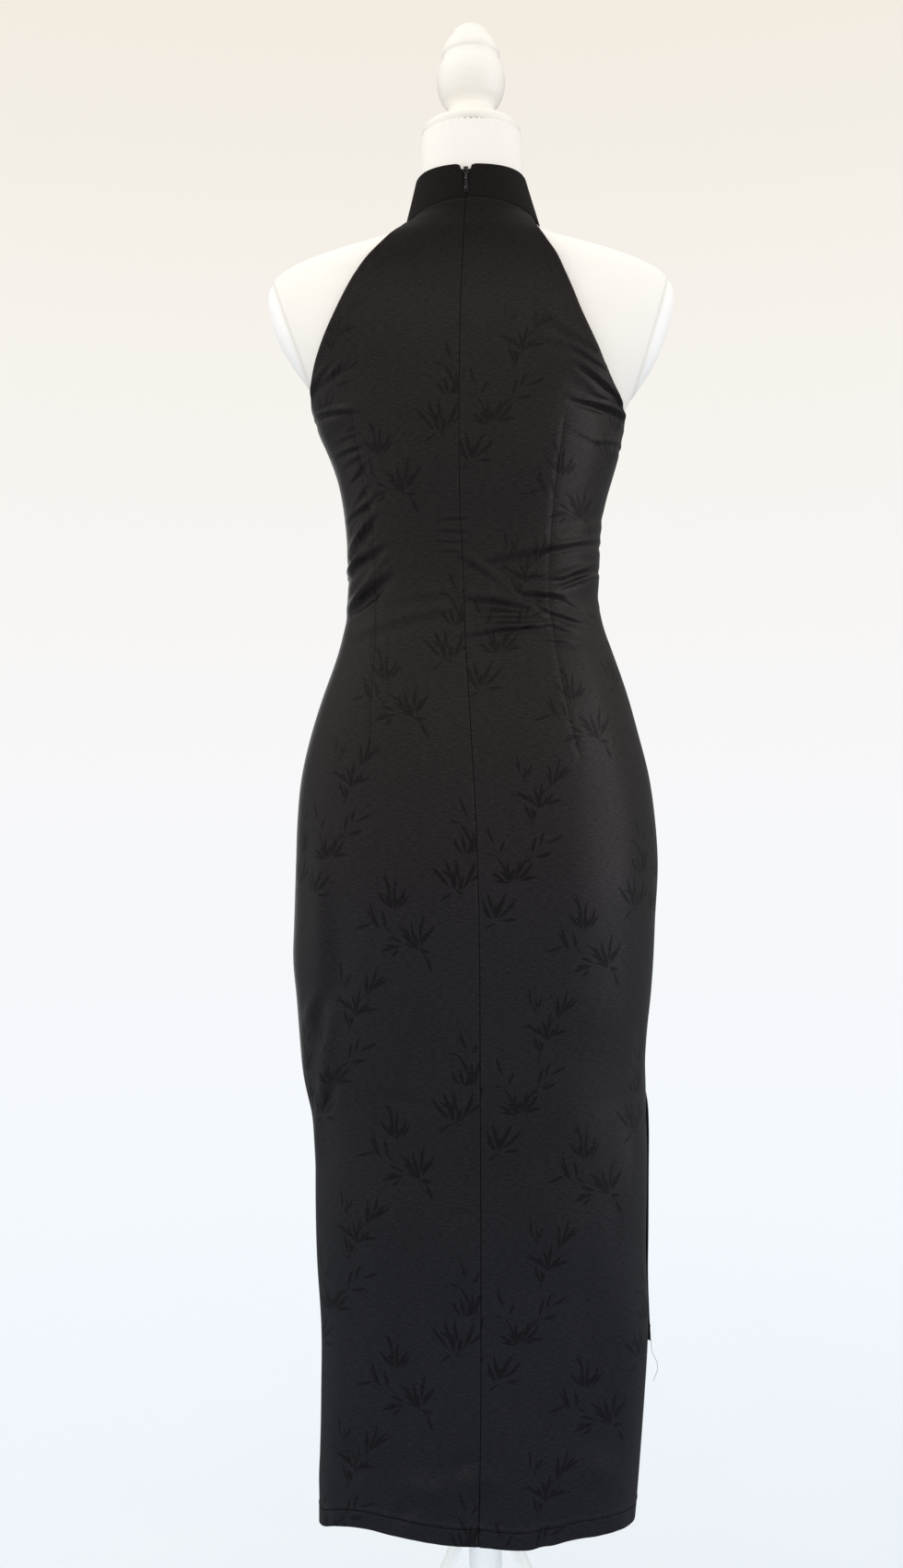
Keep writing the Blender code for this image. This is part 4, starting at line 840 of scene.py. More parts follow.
def collar_points(turn, rise):
    """The collar's outer face at a turn and a rise."""
    x = NECK_HALF * np.sin(turn)
    back = np.cos(turn) >= 0
    foot_z = np.where(back, neck_z(x, 1), neck_z(x, -1)) + SEAM_GAP
    foot = []
    for side in (1, -1):
        half = half_at(side, x, foot_z - SEAM_GAP)
        foot.append(skin(side, np.arcsin(np.clip(x / half, -1, 1)), foot_z - SEAM_GAP)[..., 1])
    foot_y = np.where(back, foot[0], foot[1])
    top_x = COLLAR_TOP_HALF * np.sin(turn) + COLLAR_TOP_SHIFT
    top_y = np.sign(np.cos(turn)) * bow_of(turn) * np.where(back, COLLAR_TOP_BACK, COLLAR_TOP_FRONT)
    end_z = np.where(back, COLLAR_TOP_BACK_Z, COLLAR_TOP_FRONT_Z)
    top_z = COLLAR_TOP_SIDE_Z + (end_z - COLLAR_TOP_SIDE_Z) * np.cos(turn) ** 2
    foot = np.stack([x, foot_y, foot_z], -1)
    top = np.stack([top_x, top_y, top_z], -1)
    return foot + (top - foot) * rise[..., None]


def zip_strip(edges):
    """The zip's two tapes and the coil between them, behind the seam and up the collar's notch.

    The strip follows the seam's own edge points, a wall's thickness in. Its middle stands up as the
    coil, whose turns are waves along it."""
    offs = np.array([-0.0125, -0.0085, -0.0045, -0.0018, -0.0008, 0.0008, 0.0018, 0.0045, 0.0085, 0.0125])
    low = edges[(edges[:, 2] > TAPE_FOOT) & (edges[:, 2] < NECK_BACK_Z - 0.0015)]
    heights = np.arange(low[:, 2].max(), low[:, 2].min(), -0.0006)
    order = np.argsort(low[:, 2])
    x = np.interp(heights, low[order, 2], low[order, 0])[:, None] + offs
    z = np.broadcast_to(heights[:, None], x.shape)
    sweep = np.arcsin(x / half_at(1, x, z))
    lower = skin(1, sweep, z)
    lower[..., 1] -= SATIN + TAPE_BEHIND_SATIN
    top = np.linspace(TAPE_TOP, NECK_BACK_Z + 0.0010, 50)
    x, z = np.meshgrid(offs, top, indexing="xy")
    rise = (z - NECK_BACK_Z) / (COLLAR_TOP_BACK_Z - NECK_BACK_Z)
    reach = NECK_HALF + (COLLAR_TOP_HALF - NECK_HALF) * rise
    x = x + read(CENTRE_SEAM, "x", z)
    upper = collar_points(np.arcsin((x - COLLAR_TOP_SHIFT * rise) / reach), rise)
    upper[..., 2] = z
    upper[..., 1] -= COLLAR_WALL + TAPE_BEHIND_COLLAR + 0.0008 * rise
    outer = np.concatenate([upper, lower])
    coil = (np.abs(offs) < 0.0010)[None, :] * (0.5 + 0.5 * np.sin(outer[..., 2] / 0.00019))
    thick = 0.0006 + 0.0010 * (np.abs(offs) < 0.0020)[None, :] + 0.0004 * coil
    inner = outer - np.array([0, 1, 0]) * thick[..., None]
    return wall("zip_tapes_and_coil", outer, inner, ZIP_TAPE, "zip_cloth", replaced=("zip_tape",))


def eased_metal(name, node, body, wide):
    """A small metal part: its solid's own shape with every corner rounded."""
    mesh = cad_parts[node].data.copy()
    mesh.name = name
    made = put_in(name, mesh)
    weld = made.modifiers.new("weld", "WELD")
    weld.merge_threshold = 0.00002
    round_off = made.modifiers.new("round", "BEVEL")
    round_off.width = wide
    round_off.segments = 2
    round_off.limit_method = "ANGLE"
    round_off.angle_limit = math.radians(30)
    mesh.materials.clear()
    mesh.materials.append(ZIP_METAL)
    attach(made, body)
    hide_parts(node)


def rings_faces(count, around):
    """Four-sided faces of a tube of closed rings, with small end rings closed by folded quads."""
    index = np.arange(count * around).reshape(count, around)
    following = np.roll(index, -1, axis=1)
    sides = np.stack([index[:-1], following[:-1], following[1:], index[1:]], -1).reshape(-1, 4)
    half = around // 2
    caps = []
    for ring, flip in ((index[0], False), (index[-1], True)):
        i = np.arange(half - 1)
        cap = np.stack([ring[i], ring[i + 1], ring[around - 2 - i], ring[around - 1 - i]], -1)
        caps.append(cap[:, ::-1] if not flip else cap)
    return np.concatenate([sides, *caps])


def form_body():
    """The form's padded body, arm stumps and neck as one skin.

    Rings at each height take the cloth's own sections less the inset. The jersey's arm caps are
    sewn on along a slanting plane, whose line dips, and it is gathered in under the neck plate."""
    around = 176
    sweep = full_turn(around)
    spans = ((TORSO_FOOT, 1.300, 150), (1.300, 1.500, 110), (1.500, FORM_TOP, 60))
    heights = np.concatenate([np.linspace(a, b, n, endpoint=False) for a, b, n in spans] + [[FORM_TOP]])
    z, sweep = np.meshgrid(heights, sweep, indexing="ij")
    inset = read(FORM_INSET, "side", z) + JERSEY_CLEAR
    deep_in = read(FORM_INSET, "deep", z) + JERSEY_CLEAR
    lower = [column(1, name, z) for name in ("left", "right")]
    lower = [half - inset for half in lower] + [column(s, "crown", z) - deep_in for s in (1, -1)]
    upper = [read(FORM_NECK, name, z) for name in ("side", "side", "back", "front")]
    join = soft_step((z - NECK_FROM) / 0.0055)
    left, right, back, front = (a + (b - a) * join for a, b in zip(lower, upper))
    x = np.where(np.sin(sweep) >= 0, left, right) * np.sin(sweep)
    bow = bow_of(sweep)
    y = np.where(np.cos(sweep) >= 0, back, -front) * bow
    y -= np.where(np.cos(sweep) < 0, bust_rise(x, z) * bow, 0.0)
    cap = np.where(x > 0, *(a * x + b * z + c for a, b, c in (CAP_LEFT, CAP_RIGHT)))
    cap = np.where(np.abs(x) > CAP_FROM, cap, -0.05)
    dip = bells(cap, CAP_DIP)
    gather = bell(FORM_TOP - z, 0.011)
    dip = dip + gather * (0.0008 + 0.0004 * np.sin(sweep * 46 + 3 * np.sin(sweep * 5)))
    points = np.stack([x, y, z], -1)
    flat = np.stack([x / np.maximum(left, right) ** 2, y / np.maximum(back, front) ** 2], -1)
    flat /= np.maximum(np.linalg.norm(flat, axis=-1, keepdims=True), 1e-9)
    points[..., :2] -= flat * dip[..., None]
    made = piece(
        "form_body_jersey",
        points.reshape(-1, 3),
        rings_faces(*x.shape),
        JERSEY,
        "jersey",
        replaced=("form_torso",),
        marks=(("cap_off", cap.ravel()),),
    )
    return made


def lathe(name, profile, node, around=96, fine=6, sharp=()):
    """A piece turned on the pole: a line through the profile, eased between its points except at the
    sharp ones, carried round. It starts and ends on the axis, or else is a closed ring."""
    points = np.array(profile, float)
    run = run_of(points, 0)
    cuts = [0, *sharp, len(points) - 1]
    parts = []
    for a, b in zip(cuts[:-1], cuts[1:]):
        at = np.linspace(run[a], run[b], max(1, (b - a) * fine), endpoint=False)
        if b - a > 1:
            parts.append(np.stack([curve(at, run[a : b + 1], points[a : b + 1, i]) for i in (0, 1)], -1))
        else:
            share = ((at - run[a]) / (run[b] - run[a]))[:, None]
            parts.append(points[a] + (points[b] - points[a]) * share)
    line = np.concatenate(parts + [points[-1:]])
    is_ring = points[0, 0] > 0
    line[:, 0] = np.maximum(line[:, 0], AXIS_HOLE)
    turn = full_turn(around)
    r, turn = line[:, :1], turn[None, :]
    verts = np.stack([r * np.cos(turn), r * np.sin(turn), line[:, 1:] + 0 * turn], -1)
    if is_ring:
        index = np.arange(len(line) * around).reshape(-1, around)
        down, on = np.roll(index, -1, axis=0), np.roll(index, -1, axis=1)
        faces = np.stack([index, on, np.roll(down, -1, axis=1), down], -1).reshape(-1, 4)
    else:
        faces = rings_faces(len(line), around)
    return piece(name, verts.reshape(-1, 3), faces, PAINTED_WOOD, "painted_wood", replaced=(node,))


def curved_leg(name, heading, node):
    """A leg: rings square to its curved middle line, each a rounded oblong as wide as the leg is
    thick across and as deep as the table says."""
    steps = np.linspace(0, LEG_LINE["step"][-1], LEG_RINGS)
    out, z, deep, tilt = (
        read(LEG_LINE, name, steps, "step") for name in ("out", "z", "half_deep", "tilt")
    )
    angle, lean = math.radians(heading), np.radians(tilt)
    radial = np.array([math.cos(angle), math.sin(angle), 0.0])
    across = np.array([-math.sin(angle), math.cos(angle), 0.0])
    up = np.array([0.0, 0.0, 1.0])
    deep_axis = np.cos(lean)[:, None] * radial + np.sin(lean)[:, None] * up
    middle = out[:, None] * radial + z[:, None] * up
    turn = full_turn(36)
    round_x = np.sign(np.sin(turn)) * np.abs(np.sin(turn)) ** 0.86
    round_y = np.sign(np.cos(turn)) * np.abs(np.cos(turn)) ** 0.86
    rings = middle[:, None] + LEG_HALF_WIDTH * round_x[None, :, None] * across
    rings = rings + (deep[:, None] * round_y[None, :])[..., None] * deep_axis[:, None]
    rings[..., 2] = np.maximum(rings[..., 2], 0.0)
    faces = rings_faces(*rings.shape[:2])
    return piece(name, rings.reshape(-1, 3), faces, PAINTED_WOOD, "painted_wood", replaced=(node,))


def stitch_row(name, points, outward, length=0.0024, gap=0.0011, half=0.00022):
    """A row of stitches: at even steps along a line of points, a small lozenge of thread lying along
    the line, twelve corners each."""
    run = run_of(points, 0)
    at = np.arange(gap, run[-1] - length, length + gap)
    ends = [along_run(at + more, run, points) for more in (0, length)]
    out = unit_of(along_run(at + length / 2, run, outward))
    along = unit_of(ends[1] - ends[0])
    side = np.cross(along, out)
    turn = full_turn(6)
    ring = np.cos(turn)[:, None, None] * side + np.sin(turn)[:, None, None] * out
    rings = []
    for share, wide in ((0.0, 0.35), (0.22, 1.0), (0.78, 1.0), (1.0, 0.35)):
        middle = ends[0] + (ends[1] - ends[0]) * share + out * half * 0.8
        rings.append(middle + ring * half * wide)
    points = np.stack(rings, 0).transpose(2, 0, 1, 3).reshape(-1, 3)
    one = rings_faces(4, 6)
    faces = (one[None] + 24 * np.arange(len(at))[:, None, None]).reshape(-1, 4)
    return piece(name, points, faces, THREAD, "satin")


def loose_thread(name, start, radius=0.00022):
    """A frayed end that curls down from a corner of the hem: a thin tube along a falling wave."""
    t = np.linspace(0, 1, 60)
    x = start[0] - 0.0060 * t + 0.0042 * np.sin(7.5 * t) * t
    y = start[1] + 0.0016 * np.sin(9.0 * t) * t
    z = start[2] + 0.0015 * np.sin(math.pi * np.minimum(t * 5, 1)) - 0.042 * t**1.2
    middle = np.stack([x, y, z], -1)
    along = unit_of(np.gradient(middle, axis=0))
    side = unit_of(np.cross(along, [0, 1, 0]))
    other = np.cross(along, side)
    turn = full_turn(8)[None, :, None]
    rings = middle[:, None] + radius * (np.cos(turn) * side[:, None] + np.sin(turn) * other[:, None])
    return piece(name, rings.reshape(-1, 3), rings_faces(60, 8), LOOSE_THREAD, "satin")


def node(tree, kind, *given, out=0, **settings):
    """A new node of a material: its settings, then its inputs in order, each a number, a colour, a
    socket that feeds it, or None to leave it."""
    made = tree.nodes.new("ShaderNode" + kind)
    for key, value in settings.items():
        setattr(made, key, value)
    fed(zip(made.inputs, given))
    return made.outputs[out]


def fed(pairs):
    """Each socket fed by its value: another socket, a number or a colour."""
    for socket, value in pairs:
        if isinstance(value, bpy.types.NodeSocket):
            value.id_data.links.new(value, socket)
        elif value is not None:
            is_colour = socket.type == "RGBA" and len(value) == 3
            socket.default_value = (*value, 1.0) if is_colour else value


def tree_of(*given):
    """The material that the sockets among some values belong to."""
    return next(value.id_data for value in given if isinstance(value, bpy.types.NodeSocket))


def sums(operation, *given):
    """A Math node."""
    return node(tree_of(*given), "Math", *given, operation=operation)


def plus(one, other):
    """one + other."""
    return sums("ADD", one, other)


def times(one, other):
    """one * other."""
    return sums("MULTIPLY", one, other)


def times_plus(one, other, more):
    """one * other + more."""
    return sums("MULTIPLY_ADD", one, other, more)


def line_of(away, reach):
    """exp(-(away / reach)^2), a soft line where a distance is near 0."""
    return sums("EXPONENT", times(sums("POWER", times(away, 1 / reach), 2.0), -1.0))


def lines(operation, *given):
    """A Vector Math node that works on three values side by side."""
    return node(tree_of(*given), "VectorMath", *given, operation=operation)


def blend(share, first, second, way="MIX"):
    """A mix of two colours."""
    made = tree_of(share, first, second).nodes.new("ShaderNodeMix")
    made.data_type = "RGBA"
    made.blend_type = way
    fed(((made.inputs[0], share), (made.inputs[6], first), (made.inputs[7], second)))
    return made.outputs[2]


def parts_of(place):
    """The three parts of a place."""
    made = tree_of(place).nodes.new("ShaderNodeSeparateXYZ")
    fed(((made.inputs[0], place),))
    return tuple(made.outputs)


def between(value, low, high, start=0.0, stop=1.0, smooth=True):
    """A value's place from low to high, laid on start to stop."""
    kind = "SMOOTHSTEP" if smooth else "LINEAR"
    return node(tree_of(value), "MapRange", value, low, high, start, stop, interpolation_type=kind)


def mottle(where, scale, stretch=(1.0, 1.0, 1.0), detail=2.0):
    """Soft noise over a place, with a number of its blots to the metre each way."""
    placed = spread(where, tuple(scale * s for s in stretch))
    return node(tree_of(where), "TexNoise", placed, None, 1.0, detail)


def spread(where, scale, turn=None):
    """A place stretched and turned by a Mapping node."""
    return node(tree_of(where), "Mapping", where, None, turn, scale)


def bumped(height, depth, onto=None, strength=1.0):
    """A surface's normal raised by a height from 0 to 1, times depth in metres."""
    made = tree_of(height).nodes.new("ShaderNodeBump")
    given = {"Strength": strength, "Distance": depth, "Height": height, "Normal": onto}
    fed((made.inputs[key], value) for key, value in given.items())
    return made.outputs[0]


def mixed(tree, share, first, second, output):
    """Two shaders mixed by a share, led to a material's or a world's output."""
    made = tree.nodes.new("ShaderNodeMixShader")
    fed([*zip(made.inputs, (share, first, second)), (output.inputs[0], made.outputs[0])])


def finished(made, shader, **sockets):
    """The material, once its shader's sockets are fed by name, with _ for a space."""
    fed((shader.inputs[key.replace("_", " ")], value) for key, value in sockets.items())
    return made


def finish_of(name, colour, roughness, specular=0.5, **fixed):
    """An empty finish: a material, its tree, its shader, and the place in the object."""
    made = bpy.data.materials.new(name)
    made.use_nodes = True
    tree = made.node_tree
    shader = tree.nodes["Principled BSDF"]
    shader.inputs["Base Color"].default_value = (*colour, 1.0)
    shader.inputs["Roughness"].default_value = roughness
    shader.inputs["Specular IOR Level"].default_value = specular
    for key, value in fixed.items():
        shader.inputs[key.replace("_", " ")].default_value = value
    made.diffuse_color = (*colour, 1.0)
    return made, tree, shader, node(tree, "TexCoord", out=3)


def bamboo(place):
    """How far inside a woven leaf each point of the flat cloth is, above 0 inside and 1 at the middle.

    Leaves are worked three at a time, one in each part of a vector. Along a leaf t runs from 0 to 1
    and its edge stands 4t(1 - t) half widths off its bent middle line. A leaf that crosses the edge
    of the repeat is drawn again a repeat away."""
    leaves = []
    for i, (*ends_mm, wide) in enumerate(LEAVES):
        foot, tip = np.array(ends_mm[:2]) * 0.001, np.array(ends_mm[2:]) * 0.001
        for over in (-REPEAT_WIDE, 0, REPEAT_WIDE):
            for up in (-REPEAT_HIGH, 0, REPEAT_HIGH):
                ends = np.array([foot, tip]) + [over, up]
                low, high = ends.min(0) - 0.003, ends.max(0) + 0.003
                if (high > 0).all() and low[0] < REPEAT_WIDE and low[1] < REPEAT_HIGH:
                    leaves.append((*ends.ravel(), wide * 0.0005, 0.9 * math.sin(1.7 * i)))
    while len(leaves) % 3:
        leaves.append(leaves[-1])
    rows = np.array(leaves)
    foot, reach = rows[:, :2], rows[:, 2:4] - rows[:, :2]
    length = np.linalg.norm(reach, axis=1)
    unit = reach / length[:, None]
    along = (unit[:, 0] / length, unit[:, 1] / length, -np.sum(foot * unit, 1) / length)
    wide = rows[:, 4]
    off = (
        -unit[:, 1] / wide,
        unit[:, 0] / wide,
        (foot[:, 0] * unit[:, 1] - foot[:, 1] * unit[:, 0]) / wide,
    )
    wrapped = lines("WRAP", place, (REPEAT_WIDE, REPEAT_HIGH, 1.0), (0.0, 0.0, -1.0))
    u, v, _ = parts_of(wrapped)
    best = None
    for k in range(0, len(rows), 3):
        three = slice(k, k + 3)
        t = lines("MULTIPLY_ADD", v, tuple(along[1][three]), tuple(along[2][three]))
        t = lines("MULTIPLY_ADD", u, tuple(along[0][three]), t)
        y = lines("MULTIPLY_ADD", v, tuple(off[1][three]), tuple(off[2][three]))
        y = lines("MULTIPLY_ADD", u, tuple(off[0][three]), y)
        belly = lines("MULTIPLY", t, lines("SUBTRACT", (1.0, 1.0, 1.0), t))
        y = lines("MULTIPLY_ADD", belly, tuple(4 * rows[three, 5]), y)
        outside = lines("MULTIPLY", lines("ABSOLUTE", y), (-1.0, -1.0, -1.0))
        inside = lines("MULTIPLY_ADD", belly, (4.0, 4.0, 4.0), outside)
        best = inside if best is None else lines("MAXIMUM", best, inside)
    one, two, three = parts_of(best)
    return sums("MAXIMUM", sums("MAXIMUM", one, two), three)


def satin(name, figured):
    """Black silk satin, its colour and the tint of its reflection painted warm above and cooler below for
    warm light from above and cool light from below. Its ground has long floats that catch the light. Where it
    is figured, the bamboo is woven the other way up, darker and duller."""
    made, tree, shader, place = finish_of(name, (0.0060, 0.0056, 0.0060), 0.32, 0.145 if figured else 0.045)
    flat = node(tree, "UVMap", uv_map="flat_cloth")
    high = parts_of(place)[2]
    # painted light: by height, colour and reflection tint shift from warm above to cool below, for the light
    # that falls on the satin
    painted_cool_light_below = between(high, 1.15, 0.45)
    cloud = mottle(place, 14.0)
    warm = blend(cloud, (0.0084, 0.0070, 0.0069), (0.0106, 0.0088, 0.0088))
    cool = blend(cloud, (0.0066, 0.0068, 0.0092), (0.0088, 0.0090, 0.0122))
    ground = blend(painted_cool_light_below, warm, cool)
    gleam = blend(painted_cool_light_below, (1.0, 0.88, 0.90), (0.88, 0.89, 1.0))
    # painted shade: from 1.40 m up to the collar, the reflection's tint is dimmed so the neck and collar
    # reflect less light; the same mask also roughens them
    neck_painted_shade = between(high, 1.40, 1.49, 0.0, 0.85)
    gleam = blend(neck_painted_shade, gleam, (0.16, 0.14, 0.14))
    weft = mottle(flat, 1.0, (1600.0, 420.0, 1.0), 1.0)
    floats = mottle(flat, 1.0, (2600.0, 300.0, 1.0), 0.0)
    shine = between(cloud, 0.2, 0.8, 0.27, 0.34)
    shine = times_plus(weft, 0.06, shine)
    shine = times_plus(neck_painted_shade, 0.22, shine)
    slub = mottle(flat, 1.0, (170.0, 880.0, 1.0), 2.0)
    tone = between(plus(weft, slub), 0.6, 1.4, 0.58, 1.42, False)
    height = floats
    if figured:
        inside = bamboo(flat)
        leaf = between(inside, -0.12, 0.34)
        shown = times(between(high, 1.03, 0.96, 0.60, 0.76), between(high, 1.36, 1.42, 1.0, 0.25))
        leaf = times(leaf, shown)
        vein = between(inside, 0.80, 1.02, 0.0, 0.35)
        dark = blend(painted_cool_light_below, (0.0042, 0.0034, 0.0035), (0.0036, 0.0036, 0.0050))
        ground = blend(times(leaf, 0.92), ground, dark)
        shine = times_plus(leaf, 0.14, shine)
        shine = times_plus(vein, -0.10, shine)
        gleam = blend(times(leaf, 0.72), gleam, (0.22, 0.21, 0.23))
        twill = node(tree, "TexWave", spread(flat, (900.0, 900.0, 1.0), (0.0, 0.0, 0.9)), 1.0, 0.6, out=1)
        height = node(tree, "Mix", leaf, None, floats, twill)
        off = node(tree, "Attribute", attribute_name="dart_off", out=2)
        held = node(tree, "Attribute", attribute_name="sewn_line_shade", out=2)
        # painted shade: colour and reflection are darkened in a thin line along darts, seams and the hem's
        # stitches, beside their bumped grooves
        line = times(line_of(off, 0.00055), held)
        tone = times_plus(line, -0.55, tone)
        shine = times_plus(line, 0.25, shine)
        # painted shade: the inner face's colour and reflection are made near black for the shade inside the
        # dress; its added roughness is the reverse's real dullness
        reverse = node(tree, "Attribute", attribute_name="wrong_side", out=2)
        ground = blend(times(reverse, 0.6), ground, (0.001, 0.001, 0.001))
        gleam = blend(times(reverse, 0.9), gleam, (0.05, 0.05, 0.05))
        shine = times_plus(reverse, 0.35, shine)
        grooves = bumped(times(line, -1.0), 0.0004)
        edges = bumped(leaf, 0.00004, grooves, 0.6)
        normal = bumped(height, 0.00005, edges, 0.55)
    else:
        shine = plus(shine, 0.06)
        normal = bumped(height, 0.00005, None, 0.55)
    thread_tone = node(tree, "CombineXYZ", tone, tone, tone)
    base = blend(1.0, ground, thread_tone, "MULTIPLY")
    gleam = lines("MULTIPLY", gleam, thread_tone)
    return finished(made, shader, Base_Color=base, Roughness=shine, Specular_Tint=gleam, Normal=normal)


def zip_tape_cloth():
    """Black zip tape: a fine herringbone of raised ribs."""
    made, tree, shader, place = finish_of("zip_tape_weave", (0.010, 0.010, 0.011), 0.75, 0.3)
    ribs = node(tree, "TexWave", spread(place, (900.0,) * 3), 1.0, 1.5)
    base = blend(ribs, (0.007, 0.007, 0.008), (0.016, 0.016, 0.018))
    return finished(made, shader, Base_Color=base, Normal=bumped(ribs, 0.0001))


def zip_enamel():
    """Black lacquer on metal, worn through to bright metal in a few specks."""
    made, _, shader, place = finish_of("zip_lacquered_metal", (0.008, 0.008, 0.009), 0.42, 0.2)
    worn = mottle(place, 900.0, detail=3.0)
    bare = between(worn, 0.63, 0.70)
    base = blend(bare, (0.008, 0.008, 0.009), (0.42, 0.41, 0.40))
    shine = between(worn, 0.3, 0.7, 0.46, 0.34)
    return finished(made, shader, Base_Color=base, Roughness=shine, Normal=bumped(worn, 0.00003))


def jersey_knit():
    """Off-white knitted jersey pulled over padding, faintly soiled, with dark lines where it is sewn."""
    made, tree, shader, place = finish_of(
        "white_jersey", (0.85, 0.83, 0.79), 0.9, 0.2, Sheen_Weight=0.25, Sheen_Roughness=0.5
    )
    knit = node(tree, "TexWave", spread(place, (520.0,) * 3), 1.0, 2.0, 1.0)
    rows = node(tree, "TexWave", spread(place, (610.0,) * 3), 1.0, 1.5, 1.0, bands_direction="Z")
    loops = times(knit, rows)
    cloud = mottle(place, 9.0, detail=3.0)
    base = blend(cloud, (0.895, 0.856, 0.802), (0.928, 0.900, 0.856))
    base = blend(times(loops, 0.14), base, (0.93, 0.92, 0.90))
    off = node(tree, "Attribute", attribute_name="cap_off", out=2)
    # painted light: beyond their seams, the arm caps are painted lighter for the light that reaches them from
    # below
    base = blend(between(off, 0.0, 0.004), base, (0.970, 0.955, 0.940))
    sewn = line_of(off, 0.0009)
    base = blend(times(sewn, 0.22), base, (0.50, 0.47, 0.44))
    dented = bumped(times(sewn, -1.0), 0.0006)
    return finished(made, shader, Base_Color=base, Normal=bumped(loops, 0.0002, dented, 0.5))


def white_paint():
    """White paint brushed on turned wood: faint runs round the grain, glossier where it is thick."""
    made, _, shader, place = finish_of("white_painted_wood", (0.86, 0.84, 0.80), 0.42, 0.45)
    brushed = mottle(place, 60.0, (1.0, 1.0, 6.0), 3.0)
    grain = mottle(place, 420.0, (1.0, 1.0, 0.25), 2.0)
    base = blend(brushed, (0.850, 0.805, 0.735), (0.890, 0.862, 0.810))
    # painted light: from 0.9 m down to 0.3 m the paint turns lighter and bluer, lifting the lower pole and
    # legs as if lit from the pale floor
    base = blend(between(parts_of(place)[2], 0.9, 0.3), base, (0.93, 0.97, 1.0))
    shine = between(brushed, 0.3, 0.7, 0.36, 0.50)
    coat = bumped(brushed, 0.0003, None, 0.4)
    return finished(made, shader, Base_Color=base, Roughness=shine, Normal=bumped(grain, 0.00006, coat, 0.4))


def sewing_thread(name, dark, light):
    """Twisted thread: a slant of paler and darker plies."""
    made, tree, shader, place = finish_of(name, light, 0.75, 0.12)
    twist = node(tree, "TexWave", spread(place, (2400.0,) * 3), 1.0, bands_direction="DIAGONAL")
    return finished(made, shader, Base_Color=blend(twist, dark, light), Normal=bumped(twist, 0.00005))


def stand_at(made, right, up, back, at):
    """An object with its own right, up and back turned to these directions, at a place."""
    made.matrix_world = Matrix([(right[i], up[i], back[i], at[i]) for i in range(3)] + [(0, 0, 0, 1)])


def photographer():
    """The camera where the photograph was taken from, rolled by its small slant."""
    data = bpy.data.cameras.new("camera")
    data.sensor_width = 36.0
    data.lens = data.sensor_width * FOCAL / PHOTO_HIGH
    data.clip_start, data.clip_end = 0.05, 50.0
    made = put_in("camera", data)
    s = CAMERA_ROLL
    long = math.hypot(1.0, s)
    place = (CAMERA_X, CAMERA_AWAY + FORM_Y, CAMERA_Z)
    stand_at(made, (-1 / long, 0, -s / long), (-s / long, 0, 1 / long), (0, 1, 0), place)
    bpy.context.scene.camera = made


def softbox(name, at, aim, size, power, colour, mirrored=True):
    """A wide soft lamp at one point, aimed at another. One that isn't mirrored lights without a glint."""
    data = bpy.data.lights.new(name, "AREA")
    data.shape = "RECTANGLE"
    data.size, data.size_y = size
    data.energy = power
    data.color = colour
    made = put_in(name, data)
    made.visible_glossy = mirrored
    back = unit_of(np.array(at, float) - np.array(aim, float))
    right = unit_of(np.cross([0, 0, 1], back))
    stand_at(made, right, np.cross(back, right), back, at)


def pale_room():
    """The room's even light, and the pale wall that the camera sees: warm above, cool below."""
    world = bpy.data.worlds.new("pale_room")
    bpy.context.scene.world = world
    world.use_nodes = True
    tree = world.node_tree
    tree.nodes.clear()
    out = tree.nodes.new("ShaderNodeOutputWorld")
    _, towards, high = parts_of(node(tree, "TexCoord", out=0))
    ramp = tree.nodes.new("ShaderNodeValToRGB")
    fed(((ramp.inputs[0], between(high, -0.5, 0.5, 0.0, 1.0, False)),))
    stops = ramp.color_ramp.elements
    stops[0].position, stops[0].color = 0.0, (0.860, 0.915, 0.985, 1)
    stops[1].position, stops[1].color = 1.0, (0.885, 0.830, 0.745, 1)
    for at, *colour in ((0.24, 0.905, 0.945, 0.985), (0.5, 0.935, 0.935, 0.950), (0.80, 0.925, 0.895, 0.840)):
        stops.new(at).color = (*colour, 1)
    wall = node(tree, "Background", ramp.outputs[0], 1.0)
    lift = times(between(high, -0.75, 0.0, 0.36, 0.86), between(high, 0.15, 0.70, 1.0, 1.30))
    lift = times(lift, between(high, 0.72, 0.98, 1.0, 0.45))
    lift = times(lift, between(towards, -0.8, 0.10, 0.30, 1.14))
    colour = blend(between(high, -0.6, 0.6), (0.86, 0.93, 1.0), (1.0, 0.96, 0.90))
    light = node(tree, "Background", colour, lift)
    mixed(tree, node(tree, "LightPath", out=0), light, wall, out)


def pale_floor():
    """A plain round floor that fades out away from the stand."""
    radius, around = 2.2, 96
    turn = full_turn(around)
    verts = np.stack([radius * np.cos(turn), radius * np.sin(turn) + FORM_Y, 0 * turn - 0.0002], -1)
    mesh = bpy.data.meshes.new("floor")
    mesh.from_pydata(verts.tolist(), [], [list(range(around))])
    made, tree, shader, place = finish_of("pale_floor_paint", (0.81, 0.89, 0.985), 0.85, 0.2)
    cloud = mottle(place, 3.0, detail=4.0)
    finished(made, shader, Base_Color=blend(cloud, (0.81, 0.89, 0.985), (0.85, 0.92, 0.995)))
    far = node(tree, "VectorMath", lines("SUBTRACT", place, (0.0, FORM_Y, 0.0)), operation="LENGTH", out=1)
    clear = node(tree, "BsdfTransparent")
    mixed(tree, between(far, 0.32, 1.9), shader.outputs[0], clear, tree.nodes["Material Output"])
    mesh.materials.append(made)
    floor = put_in("floor", mesh)
    floor.visible_glossy = False


def plain_look():
    """Colours as they are, without a film curve."""
    view = bpy.context.scene.view_settings
    view.view_transform = "Standard"
    view.look = "None"


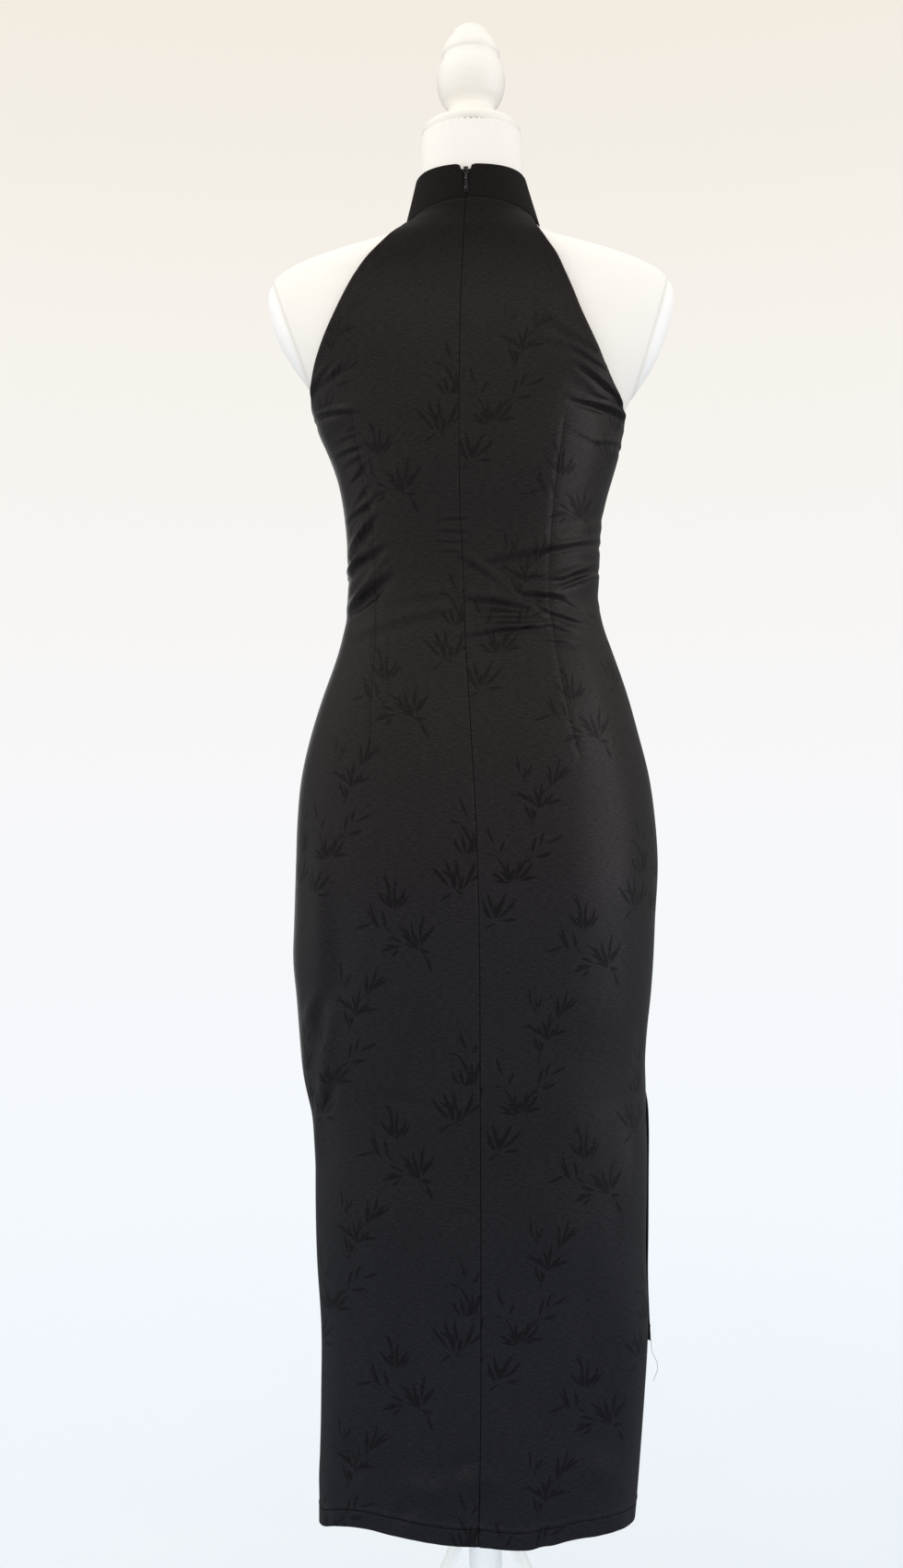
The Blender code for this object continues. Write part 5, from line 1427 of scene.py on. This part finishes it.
FOLDS = {1: BACK_FOLDS + seen_lines(SEEN_FOLDS), -1: FRONT_FOLDS + FRONT_DRAPE}
CREASES = {1: seen_lines(SEEN_CREASES), -1: FRONT_CREASES}

SATIN_FIGURED = satin("black_bamboo_satin", True)
SATIN_PLAIN = satin("black_plain_satin", False)
ZIP_TAPE = zip_tape_cloth()
ZIP_METAL = zip_enamel()
JERSEY = jersey_knit()
PAINTED_WOOD = white_paint()
THREAD = sewing_thread("black_sewing_thread", (0.003, 0.003, 0.004), (0.008, 0.008, 0.010))
LOOSE_THREAD = sewing_thread("grey_frayed_thread", (0.10, 0.10, 0.10), (0.30, 0.30, 0.31))

photographer()
pale_room()
pale_floor()
plain_look()
softbox("window_left", (2.7, 1.3, 1.5), (0.0, 0.1, 0.9), (1.8, 2.4), 28.0, (1.0, 0.98, 0.95), False)
softbox("window_right", (-2.7, 1.2, 1.4), (0.0, 0.1, 0.9), (1.8, 2.4), 26.0, (0.98, 0.98, 1.0))
softbox("ceiling", (0.2, -0.2, 3.2), (0.0, 0.1, 1.1), (2.4, 1.6), 13.0, (1.0, 0.97, 0.93), False)
softbox("far_side", (0.4, -2.6, 1.0), (0.0, 0.0, 0.9), (2.2, 1.8), 8.0, (0.98, 0.98, 1.0))

BACK_ROWS = rows_between(
    (BACK_TOP, 1.370, 0.0026),
    (1.370, 1.075, 0.0014),
    (1.075, SLIT_TOP, 0.0036),
    (SLIT_TOP, BACK_HEM + 0.022, 0.0042),
    (BACK_HEM + 0.022, BACK_HEM, 0.0010),
)
FRONT_ROWS = rows_between(
    (FRONT_TOP, 1.390, 0.0030),
    (1.390, 1.090, 0.0022),
    (1.090, SLIT_TOP, 0.0046),
    (SLIT_TOP, FRONT_HEM + 0.022, 0.0046),
    (FRONT_HEM + 0.022, FRONT_HEM, 0.0010),
)
left_darts = BACK_DARTS + SLIT_HOLLOW
left, left_face, left_hem = satin_panel(
    "back_left_satin", 1, 80, BACK_ROWS, ("side", "seam"), REPEAT_BACK_LEFT, left_darts, ("back_left",)
)
right, right_face, right_hem = satin_panel(
    "back_right_satin", 1, 80, BACK_ROWS, ("seam", "side"), REPEAT_BACK_RIGHT, BACK_DARTS, ("back_right",)
)
front, front_face, front_hem = satin_panel(
    "front_satin", -1, 106, FRONT_ROWS, ("side", "side"), REPEAT_FRONT, FRONT_DARTS, ("front",)
)
collar, collar_round, collar_deep = satin_collar()
zip_strip((left_face[:, -1] + right_face[:, 0]) / 2)
eased_metal("zip_slider_rounded", "zip_slider", DRESS, 0.00018)
eased_metal("zip_pull_rounded", "zip_pull", PULL, 0.00014)
form_body()
lathe("form_knob_turned", KNOB_PROFILE, "form_knob", sharp=(3, 9, 18, 19, 20))
lathe("form_neck_plate_turned", PLATE_PROFILE, "form_neck_plate", fine=5, sharp=(1, 5))
lathe("stand_pole_turned", POLE_PROFILE, "stand_pole", fine=5, sharp=(1, 2, 3))
lathe("stand_hub_turned", HUB_PROFILE, "stand_hub", fine=5)
for name, heading in (("front", -90.0), ("left", 30.0), ("right", 150.0)):
    curved_leg(f"stand_leg_{name}_shaped", heading, f"stand_leg_{name}")

stitches = [
    stitch_row(f"hem_stitches_{name}", *hem)
    for name, hem in (("back_left", left_hem), ("back_right", right_hem), ("front", front_hem))
]
frayed = loose_thread("frayed_thread", front_face[-1, -1])


for made, face, sewn in (
    (left, left_face, [stitches[0]]),
    (right, right_face, [stitches[1]]),
    (front, front_face, [stitches[2], frayed]),
):
    wide = float(run_of(face, 1)[:, -1].max())
    tall = float(run_of(face, 0)[-1].max())
